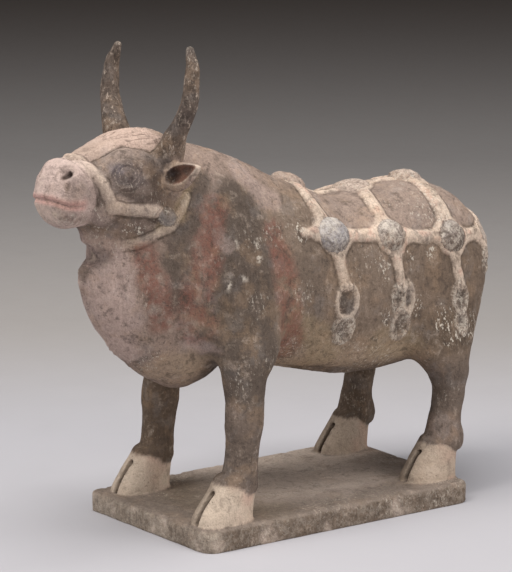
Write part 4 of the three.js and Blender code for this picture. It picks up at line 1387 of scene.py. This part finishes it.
def painted_layers(s, colour, fine):
    """Straps, bridle and lobes with ragged edges from their distances, then the red paint"""
    ragged = s.noise(4.5, 4, 0.7)
    lost = s.step(s.noise(8, 4, 0.7), 0.44, 0.56)
    tint = s.mix(s.step(s.noise(10, 3, 0.6), 0.5, 0.66), CREAM, PINK_TINT)
    strap = s.step(s.stir("strap", ragged, 5.0), 1.6, -1.2)
    colour = s.cover(colour, tint, strap, s.plus(0.96, lost, -0.3))
    bridle = s.step(s.stir("bridle", ragged, 4.5), 1.4, -1.4)
    kept = s.times(s.plus(0.52, lost, -0.2), s.math("SUBTRACT", 1.0, "faded"))
    colour = s.cover(colour, CREAM, bridle, kept)
    lobe = s.stir(s.stir("lobe", ragged, 6.0), s.noise(2.2, 2, 0.6), 3.0)
    colour = s.cover(colour, LOBE_GREY, s.step(lobe, 0.6, -0.8), 0.55)
    ring = s.step(s.math("ABSOLUTE", s.math("ADD", lobe, 1.4)), 2.6, 1.0)
    rim = s.plus(s.plus(0.2, "lobe_dark", 0.5), lost, -0.15)
    colour = s.cover(colour, CREAM, ring, rim)
    colour = s.cover(colour, DARK_WEAR, s.step(lobe, -3.2, -5.0), s.times("lobe_dark", 0.9))
    patch = s.step(s.math("ADD", s.noise(24, 3, 0.6), s.noise(7, 3, 0.6)), 0.74, 1.08)
    return s.cover(colour, RED, "red", patch, s.plus(0.5, s.step(fine, 0.38, 0.56), 0.35))


def shaded(s, colour, middle, fine, grain):
    """Cloudy shades and blotches"""
    strong = s.plus(1.0, s.math("MAXIMUM", "pale", "slab"), -0.5)
    colour = s.cover(colour, WARM, s.step(s.noise(21, 4, 0.6), 0.50, 0.66), strong, 0.26)
    colour = s.cover(colour, COOL, s.step(s.noise(16, 4, 0.6), 0.52, 0.66), strong, 0.20)
    blotch = s.stir(middle, fine, 0.5)
    colour = s.cover(colour, DUST, s.step(blotch, 0.55, 0.74), 0.30)
    colour = s.cover(colour, DARK_WEAR, s.step(blotch, 0.48, 0.30), strong, 0.50)
    shade = s.stir(s.stir(1.0, s.noise(32, 3, 0.6), 0.5), middle, 0.35)
    streak = s.noise(3.0, 3, 0.6, (1.5, 1.5, 0.3))
    shade = s.stir(shade, streak, s.times(strong, 0.6))
    shade = s.stir(shade, fine, s.times(s.plus(1.0, "hoof", -0.6), 0.55))
    shade = s.stir(shade, grain, 0.6)
    return s.add("VectorMath", {0: colour, "Scale": shade}, operation="SCALE").outputs[0]


def worn(s, colour, fine):
    """Crust, flecks, dabs, pits and the mottled horns"""
    network = s.math("MAXIMUM", s.scribble(5.0, 0.05), s.scribble(8.0, 0.04, (1, 1, 0.5)))
    network = s.times(network, s.step(s.noise(6, 3, 0.6), 0.40, 0.55))
    colour = s.cover(colour, DARK_WEAR, "crust", s.step(fine, 0.56, 0.44), 0.6)
    colour = s.cover(colour, FLECK, "crust", network, 0.55)
    speckle = s.plus(s.noise(2.1, 3, 0.7, (1, 1, 0.6)), "fleck", 0.08)
    flecks = s.times(s.step(speckle, 0.61, 0.68), "fleck")
    colour = s.cover(colour, FLECK, flecks, 0.85)
    colour = s.cover(colour, FLECK, "dab", s.step(fine, 0.4, 0.55), 0.8)
    pits = s.times(s.step(s.cells(PIT_SIZE), 0.22, 0.10), s.step(s.noise(14, 2), 0.50, 0.62))
    colour = s.cover(colour, DARK_SPECK, pits, 0.4)
    specks = s.times(s.step(s.noise(1.9, 2, 0.6), 0.60, 0.74), s.step(s.noise(11, 2), 0.42, 0.6))
    colour = s.cover(colour, DARK_SPECK, specks, s.plus(1.0, "hoof", -0.6), 0.4)
    mottle = s.step(s.noise(4.5, 4, 0.7, (1, 1, 0.6)), 0.50, 0.60)
    colour = s.cover(colour, DARK_SPECK, mottle, "horn", 0.6)
    whitened = s.step(s.noise(3.6, 4, 0.75, (1, 1, 0.5)), 0.55, 0.64)
    return s.cover(colour, DUST, whitened, "horn", 0.7), flecks


def eye_rings(s, colour, grain):
    """Fine pale rings about the eyeball"""
    wavy = s.stir("eye", s.noise(4, 3, 0.6), 5.0)
    rings = s.step(s.math("SINE", s.math("MULTIPLY", wavy, 2.1)), 0.25, 0.95)
    here = s.times(s.step("eye", 9, 5), s.step("eye", -2.0, -0.5), s.step(grain, 0.35, 0.6))
    return s.cover(colour, DUST, rings, here, 0.4)


def dirt_and_shade_lines(s):
    """Soil and painted shade along the edges of the raised work, broken here and there, and painted
    shade in the slits of the hooves
    """
    wander = s.noise(5, 3, 0.65)
    lines = 0.0
    for name, middle, width, share in EDGE_DIRT_AND_SHADE:
        away = s.math("SUBTRACT", s.stir(name, wander, 2.4), middle)
        line = s.step(s.math("ABSOLUTE", away), width, width * 0.2)
        lines = s.math("MAXIMUM", lines, s.times(line, share))
    kept = s.times(s.step(s.noise(13, 3, 0.6), 0.36, 0.56), s.math("SUBTRACT", 1.0, "faded"))
    # painted shade in the slits of the hooves
    return s.math("MAXIMUM", s.times(lines, kept), s.step("cleft", 1.0, -0.3))


def clay_material():
    """Worn paint over grey clay, with soil and painted shade in the hollows and rubbed wear and painted
    highlights on high spots
    """
    s = Shader("fired_clay_painted")
    middle = s.noise(9, 4, 0.65, warp=0.5)
    fine = s.noise(2.8, 4, 0.7)
    grain = s.noise(1.1, 2, 0.6)
    base = s.add("Attribute", {}, attribute_name="paint").outputs["Color"]
    colour = painted_layers(s, base, fine)
    colour = eye_rings(s, colour, grain)
    colour = shaded(s, colour, middle, fine, grain)
    colour, flecks = worn(s, colour, fine)
    # soil and painted shade in the hollows
    soil_and_shade = s.times(s.step("cavity", 0.03, 0.24), s.step(fine, 0.22, 0.5))
    colour = s.cover(colour, DIRT_AND_SHADE, s.math("MAXIMUM", soil_and_shade, dirt_and_shade_lines(s)), 0.8)
    # rubbed wear and painted highlight on the high spots
    rubbed_and_highlit = s.times(s.step("cavity", -0.06, -0.28), s.step(middle, 0.38, 0.58))
    colour = s.cover(colour, FLECK, rubbed_and_highlit, s.step("eye", -1.0, 2.0), 0.4)

    height = s.plus(s.math("MULTIPLY", middle, 0.8), fine, 0.9)
    height = s.plus(height, grain, 0.25)
    height = s.plus(height, s.step(s.cells(PIT_SIZE), 0.24, 0.10), -0.3)
    height = s.plus(height, flecks, 0.25)
    raised = s.add("Bump", {"Strength": 0.7, "Distance": BUMP_HEIGHT * MM, "Height": height})
    return s.made(Base_Color=colour, Roughness=s.stir(0.88, middle, 0.2), Specular_IOR_Level=0.2,
                  Normal=raised.outputs["Normal"])


def make_ox():
    block = Block(*SAMPLED, STEP)
    field, skin = ox_field(block)
    mesh = skin_mesh(block, field)
    ox = bpy.data.objects.new("ox_figure", mesh)
    bpy.context.scene.collection.objects.link(ox)
    weather(ox.data, skin)
    thinned(ox, MOST_TRIANGLES)
    mesh = ox.data
    points, normals = points_and_normals(mesh)
    layers = paint_layers(points, normals, all_relief(Cloud(points), skin))
    layers["cavity"] = cavity_of(mesh, normals, points)
    for name, values in layers.items():
        store(mesh, name, values)
    mesh.shade_smooth()
    mesh.materials.append(clay_material())
    return ox


# The photograph's viewing angle, in metres
CAMERA_AT = (1.14605, -0.88509, 0.42238)
CAMERA_AIM = (-0.013742, -0.018388, 0.16819)
LENS = 123.98
SENSOR = 36


def aimed(obj, at, aim):
    obj.location = at
    obj.rotation_euler = (Vector(aim) - Vector(at)).to_track_quat("-Z", "Y").to_euler()
    bpy.context.scene.collection.objects.link(obj)
    return obj


def add_camera():
    camera = bpy.data.cameras.new("camera")
    camera.lens = LENS
    camera.sensor_width = SENSOR
    bpy.context.scene.camera = aimed(bpy.data.objects.new("camera", camera), CAMERA_AT, CAMERA_AIM)


# Lamps: name, place, power, size and colour
LIGHTS = [("key", (-0.1, -1.3, 1.9), 28, 1.1, (1.0, 0.98, 0.95)),
          ("top", (0.3, 0.0, 2.2), 32, 1.3, (1, 1, 1)),
          ("fill", (1.7, 0.5, 0.55), 14, 1.2, (1.0, 0.97, 0.94))]
LIGHT_AIM = (0, 0, 0.15)


def add_light(name, at, power, size, colour):
    light = bpy.data.lights.new(name, "AREA")
    light.energy = power
    light.size = size
    light.color = colour
    aimed(bpy.data.objects.new(name, light), at, LIGHT_AIM)


# The sweep behind the figure, along the way the camera looks, in metres
BACKDROP = {"near": -8.0, "bend": 2.4, "round": 1.6, "height": 8.0, "half_width": 10.0, "turns": 24}
FLOOR_PALE = srgb(184, 181, 184)
FLOOR_FAR = srgb(169, 163, 159)
WALL_DARK = srgb(56, 48, 43)
SKY = (0.92, 0.95, 1.0, 1.0)
SKY_STRENGTH = 0.40


def backdrop_profile():
    """(distance, height) along the floor, round the bend and up the wall"""
    profile = [(BACKDROP["near"], 0.0)]
    for turn in np.linspace(0, math.pi / 2, BACKDROP["turns"] + 1):
        profile.append((BACKDROP["bend"] + BACKDROP["round"] * math.sin(turn),
                        BACKDROP["round"] * (1 - math.cos(turn))))
    return profile + [(profile[-1][0], BACKDROP["height"])]


def add_backdrop():
    """A pale floor that bends up far behind the figure into a dark wall"""
    away = Vector(CAMERA_AIM) - Vector(CAMERA_AT)
    away = Vector((away.x, away.y)).normalized()
    across = Vector((away.y, -away.x))
    profile = backdrop_profile()
    points, faces, run = [], [], []
    length = BACKDROP["near"]
    for i, (distance, z) in enumerate(profile):
        if i:
            length += math.dist(profile[i - 1], (distance, z))
            faces.append((2 * i - 2, 2 * i - 1, 2 * i + 1, 2 * i))
        for side in (-1, 1):
            place = away * distance + across * (BACKDROP["half_width"] * side)
            points.append((place.x, place.y, z))
            run.append(length)
    mesh = bpy.data.meshes.new("backdrop")
    mesh.from_pydata(points, [], faces)
    store(mesh, "run", np.array(run))
    mesh.shade_smooth()
    mesh.materials.append(backdrop_material())
    backdrop = bpy.data.objects.new("backdrop", mesh)
    bpy.context.scene.collection.objects.link(backdrop)


def backdrop_material():
    s = Shader("backdrop_paper")
    colour = s.mix(s.step("run", 0.15, 0.75), FLOOR_PALE, FLOOR_FAR)
    colour = s.mix(s.step("run", 2.3, 3.6), colour, WALL_DARK)
    rough = s.step(s.noise(40, 2), -1.0, 1.2)
    return s.made(Base_Color=colour, Roughness=rough, Specular_IOR_Level=0.1)


def add_world():
    world = bpy.data.worlds.new("studio")
    world.use_nodes = True
    background = world.node_tree.nodes["Background"]
    background.inputs["Color"].default_value = SKY
    background.inputs["Strength"].default_value = SKY_STRENGTH
    bpy.context.scene.world = world


bpy.context.scene.view_settings.view_transform = "Standard"
add_camera()
add_world()
for lamp in LIGHTS:
    add_light(*lamp)
add_backdrop()

ox = make_ox()
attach(ox, "root")
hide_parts("ox_on_plinth")
